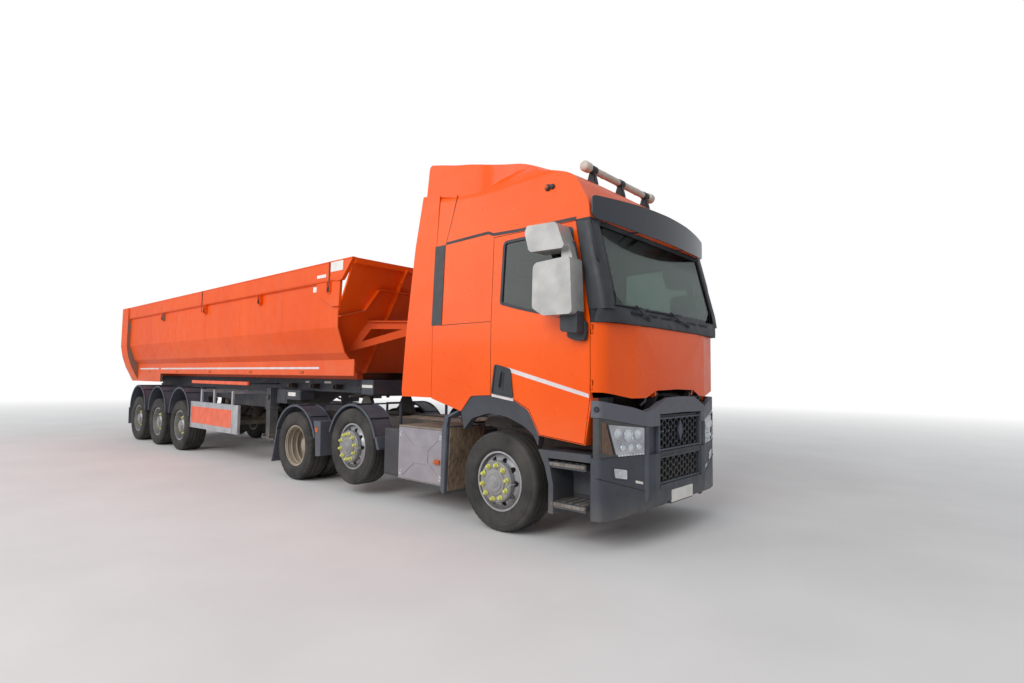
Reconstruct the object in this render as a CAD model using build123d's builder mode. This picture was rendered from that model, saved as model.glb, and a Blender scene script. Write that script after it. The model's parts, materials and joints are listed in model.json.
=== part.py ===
from build123d import *
from math import hypot
import os

# Articulated tipper lorry: a three-axle sleeper-cab tractor unit and a tri-axle tipping semi-trailer.
# Millimetres. X forward, Y to the lorry's left, Z up, floor at Z 0, X 0 halfway along the whole lorry.

# Lengths along the lorry, counted from the front axle
front_reach = 1400
rear_reach = 13000
pusher_back = 2636
drive_back = 4133
kingpin_ahead_of_drive = 600
bogie_middle_back = 10166
bogie_spacing = 1311

# Heights
pusher_lift = 120
tractor_rail_top = 960
coupling_height = 1288
trailer_rail_top = 1490
body_floor = 1600
body_rim = 3150

# Wheels
tyre_radius = 500
tyre_width = 312
wide_tyre_width = 380
twin_spacing = 345
bead_radius = 292
tractor_track = 1084
trailer_track = 1045
hub_bore = 62
spindle_clearance = 0.3

# Cab
cab_half_width = 1250
cab_wall = 35
belt_height = 2085
door_opening_gap = 6

# Running gaps
running_gap = 6
seat_gap = 0.4
pin_gap = 0.5

front_axle_x = (rear_reach - front_reach) / 2
pusher_x = front_axle_x - pusher_back
drive_x = front_axle_x - drive_back
kingpin_x = drive_x + kingpin_ahead_of_drive
bogie_x = [front_axle_x - bogie_middle_back + step * bogie_spacing for step in (1, 0, -1)]


def along(x):
    """Row X of a place given from the front axle."""
    return front_axle_x + x


def from_axle(points):
    return [(along(x), *rest) for x, *rest in points]


def outline_of(points):
    """A closed outline through points of (a, b) or (a, b, corner radius)."""
    radii = [point[2] if len(point) > 2 else 0 for point in points]
    corners = [point[:2] for point in points]
    if any(radii):
        FilletPolyline(*corners, radius=radii, close=True)
    else:
        Polyline(*corners, close=True)


def box(x_low, x_high, y_low, y_high, z_low, z_high, mode=Mode.ADD):
    centre = ((x_low + x_high) / 2, (y_low + y_high) / 2, (z_low + z_high) / 2)
    with Locations(centre):
        Box(x_high - x_low, y_high - y_low, z_high - z_low, mode=mode)


def both_boxes(x_low, x_high, y_low, y_high, z_low, z_high, mode=Mode.ADD):
    """The same box on the right and on the left."""
    for side in (-1, 1):
        y_pair = sorted((side * y_low, side * y_high))
        box(x_low, x_high, *y_pair, z_low, z_high, mode=mode)


def side_slab(points, y_low, y_high, mode=Mode.ADD):
    """An outline seen from the side, as (x, z), made solid from y_low to y_high."""
    with BuildSketch(Plane.XZ.offset(-y_high)) as outline:
        with BuildLine():
            outline_of(points)
        make_face()
    extrude(outline.sketch, amount=y_high - y_low, mode=mode)


def both_slabs(points, y_low, y_high, mode=Mode.ADD):
    for side in (-1, 1):
        side_slab(points, *sorted((side * y_low, side * y_high)), mode=mode)


def plan_slab(points, z_low, z_high, mode=Mode.ADD):
    """An outline seen from above, as (x, y), made solid from z_low to z_high."""
    with BuildSketch(Plane.XY.offset(z_low)) as outline:
        with BuildLine():
            outline_of(points)
        make_face()
    extrude(outline.sketch, amount=z_high - z_low, mode=mode)


def cross_slab(points, x_low, x_high, mode=Mode.ADD):
    """An outline seen from the front, as (y, z), made solid from x_low to x_high."""
    with BuildSketch(Plane.YZ.offset(x_low)) as outline:
        with BuildLine():
            outline_of(points)
        make_face()
    extrude(outline.sketch, amount=x_high - x_low, mode=mode)


def rod(start, end, radius, mode=Mode.ADD):
    """A round bar from one point to another."""
    start, end = Vector(*start), Vector(*end)
    with BuildSketch(Plane(origin=start, z_dir=end - start)) as section:
        Circle(radius)
    extrude(section.sketch, amount=(end - start).length, mode=mode)


def turned(x, z, profile, mode=Mode.ADD):
    """A profile of (y, radius) turned about the crosswise line at x, z."""
    with BuildSketch(Plane((x, 0, z), x_dir=(0, 1, 0), z_dir=(1, 0, 0))) as section:
        with BuildLine():
            Polyline(*profile, close=True)
        make_face()
    revolve(section.sketch, axis=Axis((x, 0, z), (0, 1, 0)), mode=mode)


def finish(builder, name):
    builder.part.label = name
    export_step(builder.part, f"parts/{name}.step")


os.makedirs("parts", exist_ok=True)
sides = (("right", -1), ("left", 1))

# Wheels: one tyre or a twin pair, on a rim with its hub
bead_half = 118
crown_half = 128
tyre_shoulder = 24
rim_wall = 11
rim_flange = 8
disc_wall = 16
hub_radius = 140
hub_cap_radius = 105
hub_inner_reach = 95
stud_circle = 335 / 2
hand_hole_circle = 218
hand_hole = 30


def tyre_section(y, width):
    half = width / 2
    shift = half - tyre_width / 2
    return [
        (y - bead_half - shift, bead_radius),
        (y - bead_half - shift, bead_radius + rim_flange),
        (y - bead_half - shift - rim_wall, bead_radius + rim_flange),
        (y - half, bead_radius + 105),
        (y - half + tyre_shoulder, tyre_radius - tyre_shoulder / 2),
        (y - crown_half - shift, tyre_radius),
        (y + crown_half + shift, tyre_radius),
        (y + half - tyre_shoulder, tyre_radius - tyre_shoulder / 2),
        (y + half, bead_radius + 105),
        (y + bead_half + shift + rim_wall, bead_radius + rim_flange),
        (y + bead_half + shift, bead_radius + rim_flange),
        (y + bead_half + shift, bead_radius),
    ]


def rim_section(y, width):
    half = bead_half + (width - tyre_width) / 2
    return [
        (y - half, bead_radius),
        (y + half, bead_radius),
        (y + half, bead_radius + rim_flange),
        (y + half + rim_wall, bead_radius + rim_flange),
        (y + half + rim_wall, bead_radius - rim_wall),
        (y - half - rim_wall, bead_radius - rim_wall),
        (y - half - rim_wall, bead_radius + rim_flange),
        (y - half, bead_radius + rim_flange),
    ]


def disc_section(y_rim, y_face, y_hub_inner, y_cap, side):
    """The dished disc with its hub, from the rim's wall down to the hub's bore."""
    inner_rim = bead_radius - rim_wall
    return [
        (y_rim, inner_rim + 1),
        (y_face, hub_radius + 90),
        (y_face, hub_radius),
        (y_cap - side * 30, hub_radius - 15),
        (y_cap, hub_cap_radius - 15),
        (y_cap, 0),
        (y_cap - side * 30, 0),
        (y_cap - side * 30, hub_bore + spindle_clearance),
        (y_hub_inner, hub_bore + spindle_clearance),
        (y_hub_inner, hub_radius - 20),
        (y_face - side * disc_wall, hub_radius),
        (y_face - side * disc_wall, hub_radius + 85),
        (y_rim - side * 22, inner_rim + 1),
    ]


def hand_holes(x, z, y_low, y_high):
    """Ten round holes through the disc."""
    with BuildSketch(Plane.XZ.offset(-y_high)) as holes:
        with Locations((x, z)):
            with PolarLocations(hand_hole_circle, 10):
                Circle(hand_hole)
    extrude(holes.sketch, amount=y_high - y_low, mode=Mode.SUBTRACT)


# name, x, height of the axle, track, tyre width, disc face from the tyre's middle, hub cap from it
wheel_table = [
    ("front", front_axle_x, tyre_radius, tractor_track, tyre_width, 128, 165),
    ("pusher", pusher_x, tyre_radius + pusher_lift, tractor_track, tyre_width, 128, 165),
    ("trailer_1", bogie_x[0], tyre_radius, trailer_track, wide_tyre_width, 70, 150),
    ("trailer_2", bogie_x[1], tyre_radius, trailer_track, wide_tyre_width, 70, 150),
    ("trailer_3", bogie_x[2], tyre_radius, trailer_track, wide_tyre_width, 70, 150),
]
for wheel, x, z, track, width, face, cap in wheel_table:
    for side_name, side in sides:
        y = side * track
        with BuildPart() as tyre:
            turned(x, z, tyre_section(y, width))
        finish(tyre, f"tyre_{wheel}_{side_name}")

        with BuildPart() as rim:
            turned(x, z, rim_section(y, width))
            y_rim = y + side * (face - 55)
            disc = disc_section(y_rim, y + side * face, y - side * hub_inner_reach, y + side * cap, side)
            turned(x, z, disc)
            hand_holes(x, z, *sorted((y, y + side * (face + 10))))
        finish(rim, f"rim_{wheel}_{side_name}")

# The drive axle's twins: two tyres and two rims bolted disc to disc on one hub
twin_face = 60
drive_inner_track = tractor_track - twin_spacing
for side_name, side in sides:
    with BuildPart() as tyre:
        for track in (tractor_track, drive_inner_track):
            turned(drive_x, tyre_radius, tyre_section(side * track, tyre_width))
    finish(tyre, f"tyres_drive_{side_name}")

    disc_y = side * (tractor_track - twin_spacing / 2)
    with BuildPart() as rim:
        for track in (tractor_track, drive_inner_track):
            turned(drive_x, tyre_radius, rim_section(side * track, tyre_width))
            toward = 1 if track == tractor_track else -1
            y_rim = disc_y + side * toward * twin_face
            disc = [
                (y_rim, bead_radius - rim_wall + 1),
                (disc_y + side * toward * disc_wall, hub_radius + 90),
                (disc_y + side * toward * disc_wall, hub_radius - 10),
                (disc_y, hub_radius - 10),
                (disc_y, hub_radius + 95),
                (y_rim - side * toward * 22, bead_radius - rim_wall + 1),
            ]
            turned(drive_x, tyre_radius, disc)
        hub = [
            (disc_y - side * 120, hub_bore + spindle_clearance),
            (disc_y - side * 120, hub_radius - 20),
            (disc_y - side * 20, hub_radius),
            (disc_y + side * 30, hub_radius),
            (disc_y + side * 120, hub_cap_radius),
            (disc_y + side * 150, hub_cap_radius - 10),
            (disc_y + side * 150, 0),
            (disc_y + side * 120, 0),
            (disc_y + side * 120, hub_bore + spindle_clearance),
        ]
        turned(drive_x, tyre_radius, hub)
        hand_holes(drive_x, tyre_radius, *sorted((disc_y - side * 30, disc_y + side * 30)))
    finish(rim, f"rims_drive_{side_name}")

# Steering knuckles: a fork round the axle beam's end, with the spindle that carries the wheel
kingpin_track = 880
kingpin_radius = 26
beam_half_height = 55
beam_half_width = 50
fork_half_width = 60
fork_reach = 95
spindle_end = tractor_track + 120
drive_spindle_end = tractor_track - twin_spacing / 2 + 112
for side_name, side in sides:
    y = side * kingpin_track
    with BuildPart() as knuckle:
        jaw = beam_half_height + pin_gap
        for low, high in ((jaw, fork_reach), (-fork_reach, -jaw)):
            y_pair = sorted((y - side * fork_half_width, y + side * (fork_half_width + 30)))
            box(
                front_axle_x - fork_half_width,
                front_axle_x + fork_half_width,
                *y_pair,
                tyre_radius + low,
                tyre_radius + high,
            )
            rod(
                (front_axle_x, y, tyre_radius + low - 10),
                (front_axle_x, y, tyre_radius + high + 10),
                kingpin_radius + pin_gap,
                mode=Mode.SUBTRACT,
            )
        y_pair = sorted((y + side * (fork_half_width + 8), y + side * (fork_half_width + 30)))
        box(
            front_axle_x - fork_half_width,
            front_axle_x + fork_half_width,
            *y_pair,
            tyre_radius - fork_reach,
            tyre_radius + fork_reach,
        )
        rod(
            (front_axle_x, y + side * (fork_half_width + 15), tyre_radius),
            (front_axle_x, side * spindle_end, tyre_radius),
            hub_bore,
        )
    finish(knuckle, f"knuckle_{side_name}")

# Tractor rails
rail_half = 425
rail_web = 10
rail_flange = 75
rail_height = 266
rail_bottom = tractor_rail_top - rail_height

# Tractor axles: the front beam with its kingpins, the lifted pusher beam, the drive axle
drive_tube_radius = 62
drive_bowl_radius = 205
pusher_z = tyre_radius + pusher_lift
with BuildPart() as tractor_axles:
    beam_end = kingpin_track + 35
    box(
        front_axle_x - beam_half_width,
        front_axle_x + beam_half_width,
        -beam_end,
        beam_end,
        tyre_radius - beam_half_height,
        tyre_radius + beam_half_height,
    )
    for side in (-1, 1):
        rod(
            (front_axle_x, side * kingpin_track, tyre_radius - fork_reach - 8),
            (front_axle_x, side * kingpin_track, tyre_radius + fork_reach + 8),
            kingpin_radius,
        )
        for x, z in ((front_axle_x, tyre_radius), (drive_x, tyre_radius), (pusher_x, pusher_z)):
            spring = sorted((side * 340, side * 420))
            box(x - 350, x + 350, *spring, z + 20, z + 70)
            for bag_x in (x - 290, x + 290):
                rod((bag_x, side * 380, z + 60), (bag_x, side * 380, rail_bottom), 60)
    rod((pusher_x, -spindle_end, pusher_z), (pusher_x, spindle_end, pusher_z), hub_bore)
    rod((drive_x, -drive_spindle_end, tyre_radius), (drive_x, drive_spindle_end, tyre_radius), hub_bore)
    turned(
        drive_x,
        tyre_radius,
        [(-330, 0), (-330, 70), (-110, drive_bowl_radius), (110, drive_bowl_radius), (330, 70), (330, 0)],
    )
finish(tractor_axles, "tractor_axles")

# Tractor frame: two rails, crossmembers, the beam the bumper hangs on and the arms the cab tilts on
tilt_x = along(1290)
tilt_z = 1400
tilt_pin = 14
tilt_eye = 24
tilt_arm = 380
frame_front = along(1150)
frame_rear = along(-4800)
with BuildPart() as tractor_frame:
    both_boxes(frame_rear, frame_front, rail_half - rail_web, rail_half, rail_bottom, tractor_rail_top)
    for z in (rail_bottom, tractor_rail_top - rail_web):
        both_boxes(frame_rear, frame_front, rail_half - rail_flange, rail_half, z, z + rail_web)
    for x in (1110, -900, -1900, -3300, -4760):
        box(along(x) - 30, along(x) + 30, -rail_half, rail_half, rail_bottom + 40, tractor_rail_top - 40)
    box(along(1060), along(1140), -860, 860, 560, rail_bottom)
    arm = [(1080, 900), (1150, 900), (1310, 1385), (1275, 1412), (1205, 1330)]
    both_slabs(from_axle(arm), tilt_arm - 25, tilt_arm + 15)
    for side in (-1, 1):
        eye = sorted((side * (tilt_arm - 25), side * (tilt_arm + 15)))
        rod((tilt_x, eye[0], tilt_z), (tilt_x, eye[1], tilt_z), tilt_eye)
    rod((tilt_x, -500, tilt_z), (tilt_x, 500, tilt_z), tilt_pin + pin_gap, mode=Mode.SUBTRACT)
finish(tractor_frame, "tractor_frame")

# Engine: one block between the rails
with BuildPart() as engine:
    box(along(-650), along(650), -300, 300, 640, 1240)
    for x in (-500, 500):
        both_boxes(along(x - 40), along(x + 40), 290, rail_half - rail_web, 720, 780)
finish(engine, "engine")

# Fifth wheel: plate with its throat, on two pedestals
plate_half = 460
throat_radius = 27
with BuildPart() as fifth_wheel:
    plate_top = coupling_height - seat_gap
    with BuildSketch(Plane.XY.offset(plate_top - 40)) as plate:
        with BuildLine():
            Polyline(
                (kingpin_x + 380, -300),
                (kingpin_x + 380, 300),
                (kingpin_x + 250, plate_half),
                (kingpin_x - 200, plate_half),
                (kingpin_x - 520, 330),
                (kingpin_x - 520, 130),
                (kingpin_x - 120, throat_radius + 8),
                (kingpin_x - 120, -throat_radius - 8),
                (kingpin_x - 520, -130),
                (kingpin_x - 520, -330),
                (kingpin_x - 200, -plate_half),
                (kingpin_x + 250, -plate_half),
                close=True,
            )
        make_face()
        with Locations((kingpin_x, 0)):
            Circle(throat_radius, mode=Mode.SUBTRACT)
        with Locations((kingpin_x - 70, 0)):
            Rectangle(140, 2 * throat_radius, mode=Mode.SUBTRACT)
    extrude(plate.sketch, amount=40)
    foot = [
        (kingpin_x - 220, tractor_rail_top),
        (kingpin_x + 220, tractor_rail_top),
        (kingpin_x + 70, plate_top - 40),
        (kingpin_x - 70, plate_top - 40),
    ]
    both_slabs(foot, 340, 400)
    box(kingpin_x - 300, kingpin_x + 300, -rail_half, rail_half, tractor_rail_top, tractor_rail_top + 12)
finish(fifth_wheel, "fifth_wheel")

# Tanks: the long fuel tank on the left, the small black tank behind the locker on the right
with BuildPart() as tanks:
    box(along(-1960), along(-1690), -1190, -640, 335, 915)
    box(along(-1960), along(-1690), -640, -rail_half, 760, 830)
    fillet(tanks.edges().filter_by(Axis.X), radius=30)
    box(along(-1960), along(-860), 600, 1190, 330, 930)
    box(along(-1900), along(-1800), rail_half, 600, 700, 780)
    box(along(-1020), along(-920), rail_half, 600, 700, 780)
finish(tanks, "tanks")

# Locker on the right side, between the front and pusher wheels
locker = (-1665, -840)
with BuildPart() as side_locker:
    box(along(locker[0]), along(locker[1]), -1200, -600, 320, 945)
    fillet(side_locker.edges().filter_by(Axis.X), radius=25)
    for x in (-1550, -950):
        box(along(x) - 40, along(x) + 40, -600, -rail_half, 720, 800)
finish(side_locker, "side_locker")

# Mudguards over the pusher and drive wheels, and the spray guards behind the front wheels
guard_wall = 10
guard_inner_y = 915
guard_outer_y = 1238
drive_guard = 580
pusher_guard = 532


def arch(x, z, radius, start, end, y_low, y_high, wall):
    """Part of a ring about a crosswise line, from one angle to another."""
    with BuildSketch(Plane.XZ.offset(-y_high)) as ring:
        with BuildLine():
            outer = CenterArc((x, z), radius + wall, start, end - start)
            inner = CenterArc((x, z), radius, start, end - start)
            Line(outer @ 0, inner @ 0)
            Line(outer @ 1, inner @ 1)
        make_face()
    extrude(ring.sketch, amount=y_high - y_low)


with BuildPart() as tractor_mudguards:
    for side_name, side in sides:
        y_pair = sorted((side * guard_inner_y, side * guard_outer_y))
        arch(drive_x, tyre_radius, drive_guard, 15, 160, *y_pair, guard_wall)
        arch(pusher_x, pusher_z, pusher_guard, 15, 165, *y_pair, guard_wall)
        for x, top in ((drive_x, tyre_radius + drive_guard), (pusher_x, pusher_z + pusher_guard)):
            stay = sorted((side * rail_half, side * guard_outer_y))
            box(x - 20, x + 20, *stay, top + 5, top + 25)
            post = sorted((side * rail_half, side * (rail_half + 20)))
            box(x - 20, x + 20, *post, rail_bottom + 60, top + 25)
        flap = [(-760, 1000), (-800, 1000), (-830, 262), (-790, 262)]
        side_slab(from_axle(flap), *sorted((side * 640, side * 1235)))
        rear_flap = [(-4672, 700), (-4660, 690), (-4801, 200), (-4815, 200), (-4690, 705)]
        side_slab(from_axle(rear_flap), *y_pair)
        box(along(-800), along(-770), *sorted((side * rail_half, side * 660)), 880, 940)
finish(tractor_mudguards, "tractor_mudguards")

# Bumper, the hoop over the lamps, and the cab steps behind the bumper's ends
nose_half = 650
lamp_bottom = 845
grille_half = 470
grille_foot = 545
grille_head = 1215


def mirrored(half):
    """The left half of an outline in plan, with its mirror image on the right."""
    return half + [(x, -y, *rest) for x, y, *rest in reversed(half)]


def across(half):
    """A half outline that ends on the middle line, carried on as its mirror image."""
    return half + [(x, -y, *rest) for x, y, *rest in reversed(half[:-1])]


def reflected(half):
    """The left half of an outline of (y, z), with its mirror image on the right."""
    return half + [(-y, z, *rest) for y, z, *rest in reversed(half)]


def crossed(half):
    """An outline of (y, z) that starts and ends on the middle line, with its mirror image."""
    return half + [(-y, z, *rest) for y, z, *rest in reversed(half[1:-1])]


bumper_plan = [(1120, 1245), (1215, 1235, 60), (1352, nose_half), (1395, 560, 40), (1400, 0)]
bumper_inside = [(1120, 1200), (1175, 1190), (1290, nose_half - 40), (1325, 560), (1330, 0)]
hoop_front = [(0, 1379), (300, 1372), (430, 1325), (nose_half, 1240, 60), (820, 1285, 60), (1245, 1352)]
hoop_front += [(1245, 1203), (nose_half, 1105), (440, 1105), (300, grille_head), (0, grille_head + 5)]
with BuildPart() as bumper:
    ring = across(from_axle(bumper_plan)) + across(from_axle(bumper_inside))[::-1]
    plan_slab(ring, 1080, 1400)
    cross_slab(crossed(hoop_front), along(1100), along(1420), mode=Mode.INTERSECT)
    tilt_room = [(1250, 1330), (1333, 1334), (1348, 1346), (1370, 1384), (1370, 1420), (1250, 1420)]
    side_slab(from_axle(tilt_room), -600, 600, mode=Mode.SUBTRACT)
    plan_slab(ring, 300, lamp_bottom)
    both_boxes(along(1290), along(1352), grille_half - 5, nose_half - 15, lamp_bottom - 10, 1110)
    undercut = [(1240, 290), (1420, 290), (1420, 400), (1340, 330)]
    side_slab(from_axle(undercut), -1300, 1300, mode=Mode.SUBTRACT)
    box(along(1250), along(1420), -grille_half, grille_half, grille_foot, grille_head, mode=Mode.SUBTRACT)
    lip = [(1352, grille_foot - 25), (1400, grille_foot - 40), (1400, grille_foot), (1352, grille_foot)]
    side_slab(from_axle(lip), -grille_half, grille_half)
    for side in (-1, 1):
        for z in (350, 715):
            tread = [(645, z, 12), (1060, z, 12), (1060, z + 55, 12), (645, z + 55, 12)]
            side_slab(from_axle(tread), *sorted((side * 890, side * 1225)))
        well = [(630, 330), (1130, 330), (1130, 850), (600, 850)]
        side_slab(from_axle(well), *sorted((side * 860, side * 900)))
        cheek = [(520, 870), (600, 720), (645, 560), (645, 290), (700, 290)]
        cheek += [(700, 560), (640, 800), (1120, 800), (1120, 870)]
        side_slab(from_axle(cheek), *sorted((side * 890, side * 1235)))
    both_boxes(along(1070), along(1335), 300, 400, 420, 480)
    both_boxes(along(1070), along(1130), 300, 400, 470, 560)
finish(bumper, "bumper")

# Grille: two panels of six-sided cells in the bumper's opening, with a bar between them
cell_half = 37
cell_rim = 7
cell_deep = 30
grille_x = along(1335)
with BuildPart() as grille:
    panel_half = grille_half - seat_gap
    box(grille_x, grille_x + cell_deep, -panel_half, panel_half, grille_foot + seat_gap, grille_head - 15)
    box(grille_x + cell_deep - 1, along(1392), -panel_half, panel_half, 812, 856)
    for low, high in ((grille_foot + 20, 800), (868, grille_head - 35)):
        with BuildSketch(Plane.YZ.offset(grille_x - 5)) as cells:
            with Locations((0, (low + high) / 2)):
                with HexLocations(cell_half, 17, 7):
                    RegularPolygon(cell_half - cell_rim, 6, major_radius=False)
                Rectangle(2 * panel_half - 30, high - low, mode=Mode.INTERSECT)
        extrude(cells.sketch, amount=cell_deep + 10, mode=Mode.SUBTRACT)
    both_boxes(along(1240), grille_x + 1, 300, 400, 560, 620)
finish(grille, "grille")

# Headlamps, wrapped round the corners between the bumper and the hoop
with BuildPart() as headlamps:
    for side in (-1, 1):
        lamp = [(1140, 1240), (1212, 1228, 60), (1345, nose_half + 1), (1240, nose_half + 1), (1130, 1180)]
        plan_slab([(along(x), side * y, *rest) for x, y, *rest in lamp], 800, 1240)
    lamp_front = [(nose_half - 20, lamp_bottom + seat_gap), (1260, lamp_bottom + seat_gap)]
    lamp_front += [(1260, 1202), (nose_half - 20, 1099)]
    with BuildSketch(Plane.YZ.offset(along(1100))) as outline:
        for side in (-1, 1):
            with BuildLine():
                outline_of([(side * y, z) for y, z in lamp_front])
            make_face()
    extrude(outline.sketch, amount=300, mode=Mode.INTERSECT)
finish(headlamps, "headlamps")

# Cab: an envelope cut from its outlines seen from the side, from the front and from above
cab_rear = -1030
cab_floor = 1370
arch_edge = [(-548, 1180), (-395, 1350, 80), (-78, 1366, 300)]
arch_edge += [(200, 1330, 200), (400, 1232, 150), (530, 1000)]
cab_side = [
    (1345, 1340),
    (1330, 2050),
    (1290, 2185),
    (1085, 3010),
    (1060, 3190, 200),
    (880, 3500, 400),
    (250, 3810, 1500),
    (cab_rear, 3975, 60),
    (cab_rear, 1300),
    *arch_edge,
    (1055, 950),
    (1130, 1340),
]
cab_front = [
    (0, cab_floor),
    (870, cab_floor),
    (870, 900),
    (1235, 900),
    (cab_half_width, 1400),
    (cab_half_width, belt_height),
    (1215, 3000),
    (1160, 3790, 250),
    (0, 3990),
]
cab_plan = [(-2000, 1250), (1215, 1250, 160), (1310, 760), (1337, 380), (1345, 0)]


def cab_envelope(inset, mode=Mode.ADD):
    """The cab's outer form, moved inwards all round by the inset."""
    with BuildSketch(Plane.XZ.offset(-cab_half_width)) as from_side:
        with BuildLine():
            outline_of(from_axle(cab_side))
        make_face()
        if inset:
            offset(amount=-inset, kind=Kind.INTERSECTION, mode=Mode.REPLACE)
    with BuildSketch(Plane.YZ.offset(along(-2000))) as from_front:
        with BuildLine():
            outline_of(crossed(cab_front))
        make_face()
        if inset:
            offset(amount=-inset, kind=Kind.INTERSECTION, mode=Mode.REPLACE)
    with BuildSketch(Plane.XY.offset(0)) as from_above:
        with BuildLine():
            outline_of(across(from_axle(cab_plan)))
        make_face()
        if inset:
            offset(amount=-inset, kind=Kind.INTERSECTION, mode=Mode.REPLACE)
    solid = extrude(from_side.sketch, amount=2 * cab_half_width, mode=Mode.PRIVATE)
    solid &= extrude(from_front.sketch, amount=4000, mode=Mode.PRIVATE)
    solid &= extrude(from_above.sketch, amount=4200, mode=Mode.PRIVATE)
    add(solid, mode=mode)


def roof_height(x):
    """Height of the cab's roof line at a place given from the front axle."""
    for (x_front, z_front, *_), (x_back, z_back, *_) in zip(cab_side, cab_side[1:]):
        if z_front > 3000 and x_back <= x <= x_front:
            return z_front + (z_back - z_front) * (x - x_front) / (x_back - x_front)


door_outline = [
    (1120, 1400),
    (1114, 2085),
    (930, 3020),
    (-120, 3020),
    (-110, 1372),
    (200, 1336),
    (406, 1238),
    (536, 1004),
    (1050, 956),
]
window_outline = [(34, 2941, 45), (18, 2307, 25), (300, 2230, 600)]
window_outline += [(864, 2106, 100), (960, 2120, 30), (887, 2958, 45)]
aperture = [
    (1040, 1500),
    (1030, 2085),
    (860, 2950),
    (-50, 2950),
    (-50, 1440),
    (240, 1400),
    (470, 1300),
    (620, 1090),
    (980, 1050),
]
screen_outline = [(-1130, 2190), (1130, 2190), (1090, 2990), (-1090, 2990)]
door_depth = 60
hinge_line_x = along(1125)
hinge_line_y = 1240
hinge_barrel = 8
hinge_room = 9
hinge_heights = (1450, 1950)
hinge_half = 40


def hinge_rod(side, z_low, z_high, radius, mode=Mode.ADD):
    """A length of round bar on a door's hinge line."""
    y = side * hinge_line_y
    rod((hinge_line_x, y, z_low), (hinge_line_x, y, z_high), radius, mode=mode)


with BuildPart() as cab_shell:
    cab_envelope(0)
    cab_envelope(cab_wall, mode=Mode.SUBTRACT)
    for side in (-1, 1):
        outer = sorted((side * (cab_half_width - door_depth), side * (cab_half_width + 50)))
        side_slab(from_axle(door_outline), *outer, mode=Mode.SUBTRACT)
        inner = sorted((side * (cab_half_width - 200), side * (cab_half_width + 50)))
        side_slab(from_axle(aperture), *inner, mode=Mode.SUBTRACT)
    cross_slab(screen_outline, along(900), along(1500), mode=Mode.SUBTRACT)
    lower_edge = [(0, 1449), (430, 1438), (620, 1362), (803, 1364), (1180, 1425), (1260, 1425), (1260, 1200)]
    cross_slab(crossed(lower_edge + [(0, 1200)]), along(1119), along(1400), mode=Mode.SUBTRACT)
    board = [(1060, 1150), (1200, 1120), (1300, 740), (1325, 0)]
    plan_slab(mirrored(from_axle(board[:-1])), 1452, 1478)
    for side in (-1, 1):
        for z in hinge_heights:
            hinge_rod(side, z - 5, z + 2 * hinge_half + 5, hinge_barrel + hinge_room, mode=Mode.SUBTRACT)
            hinge_rod(side, z, z + hinge_half, hinge_barrel)
            leaf = sorted((side * (hinge_line_y - 10), side * (hinge_line_y - 2)))
            box(hinge_line_x, hinge_line_x + 18, *leaf, z, z + hinge_half)
        lug = [(1255, 1460), (1262, 1385, 10), (1290, 1370, 10), (1318, 1385, 10), (1325, 1460)]
        side_slab(from_axle(lug), *sorted((side * (tilt_arm + 21), side * (tilt_arm + 45))))
        rod((tilt_x, side * (tilt_arm - 22), tilt_z), (tilt_x, side * (tilt_arm + 30), tilt_z), tilt_pin)
finish(cab_shell, "cab_shell")

with BuildPart() as windscreen:
    cab_envelope(8)
    cab_envelope(16, mode=Mode.SUBTRACT)
    cross_slab([(y * 0.998, z) for y, z in screen_outline], along(900), along(1500), mode=Mode.INTERSECT)
finish(windscreen, "windscreen")

for side_name, side in sides:
    near = sorted((side * (cab_half_width - door_depth + 4), side * (cab_half_width + 50)))
    with BuildPart() as door:
        cab_envelope(0)
        cab_envelope(cab_wall, mode=Mode.SUBTRACT)
        with BuildSketch(Plane.XZ.offset(-near[1])) as outline:
            with BuildLine():
                Polyline(*from_axle(door_outline), close=True)
            make_face()
            offset(amount=-door_opening_gap, kind=Kind.INTERSECTION, mode=Mode.REPLACE)
        extrude(outline.sketch, amount=near[1] - near[0], mode=Mode.INTERSECT)
        side_slab(from_axle(window_outline), *near, mode=Mode.SUBTRACT)
        for z in hinge_heights:
            base = z + hinge_half + seat_gap
            top = base + hinge_half
            hinge_rod(side, z - 5, top + 5, hinge_barrel + hinge_room, mode=Mode.SUBTRACT)
            hinge_rod(side, base, top, hinge_barrel)
            leaf = sorted((side * (hinge_line_y - 10), side * (hinge_line_y - 2)))
            box(hinge_line_x - 30, hinge_line_x, *leaf, base, top)
    finish(door, f"door_{side_name}")

    with BuildPart() as door_glass:
        cab_envelope(10)
        cab_envelope(16, mode=Mode.SUBTRACT)
        side_slab(from_axle(window_outline), *near, mode=Mode.INTERSECT)
    finish(door_glass, f"door_glass_{side_name}")

    with BuildPart() as mirror:
        y_pair = sorted((side * 1300, side * 1490))
        head = [(632, 2190, 50), (640, 2605, 60), (1055, 2625, 40), (1083, 2110, 40), (760, 2112, 90)]
        side_slab(from_axle(head), *y_pair)
        head = [(590, 2715, 60), (535, 2905, 60), (560, 2968, 25), (905, 2955, 60), (1003, 2702, 30)]
        side_slab(from_axle(head), *y_pair)
        y_pair = sorted((side * 1300, side * 1400))
        side_slab(from_axle([(900, 2560), (900, 2760), (985, 2760), (1040, 2560)]), *y_pair)
        side_slab(from_axle([(905, 1990, 30), (905, 2190), (1060, 2190), (1075, 1960, 30)]), *y_pair)
        y_pair = sorted((side * (cab_half_width + seat_gap), side * 1301))
        side_slab(from_axle([(905, 1930, 20), (905, 2060), (1060, 2060), (1075, 1900, 20)]), *y_pair)
    finish(mirror, f"mirror_{side_name}")

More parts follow.
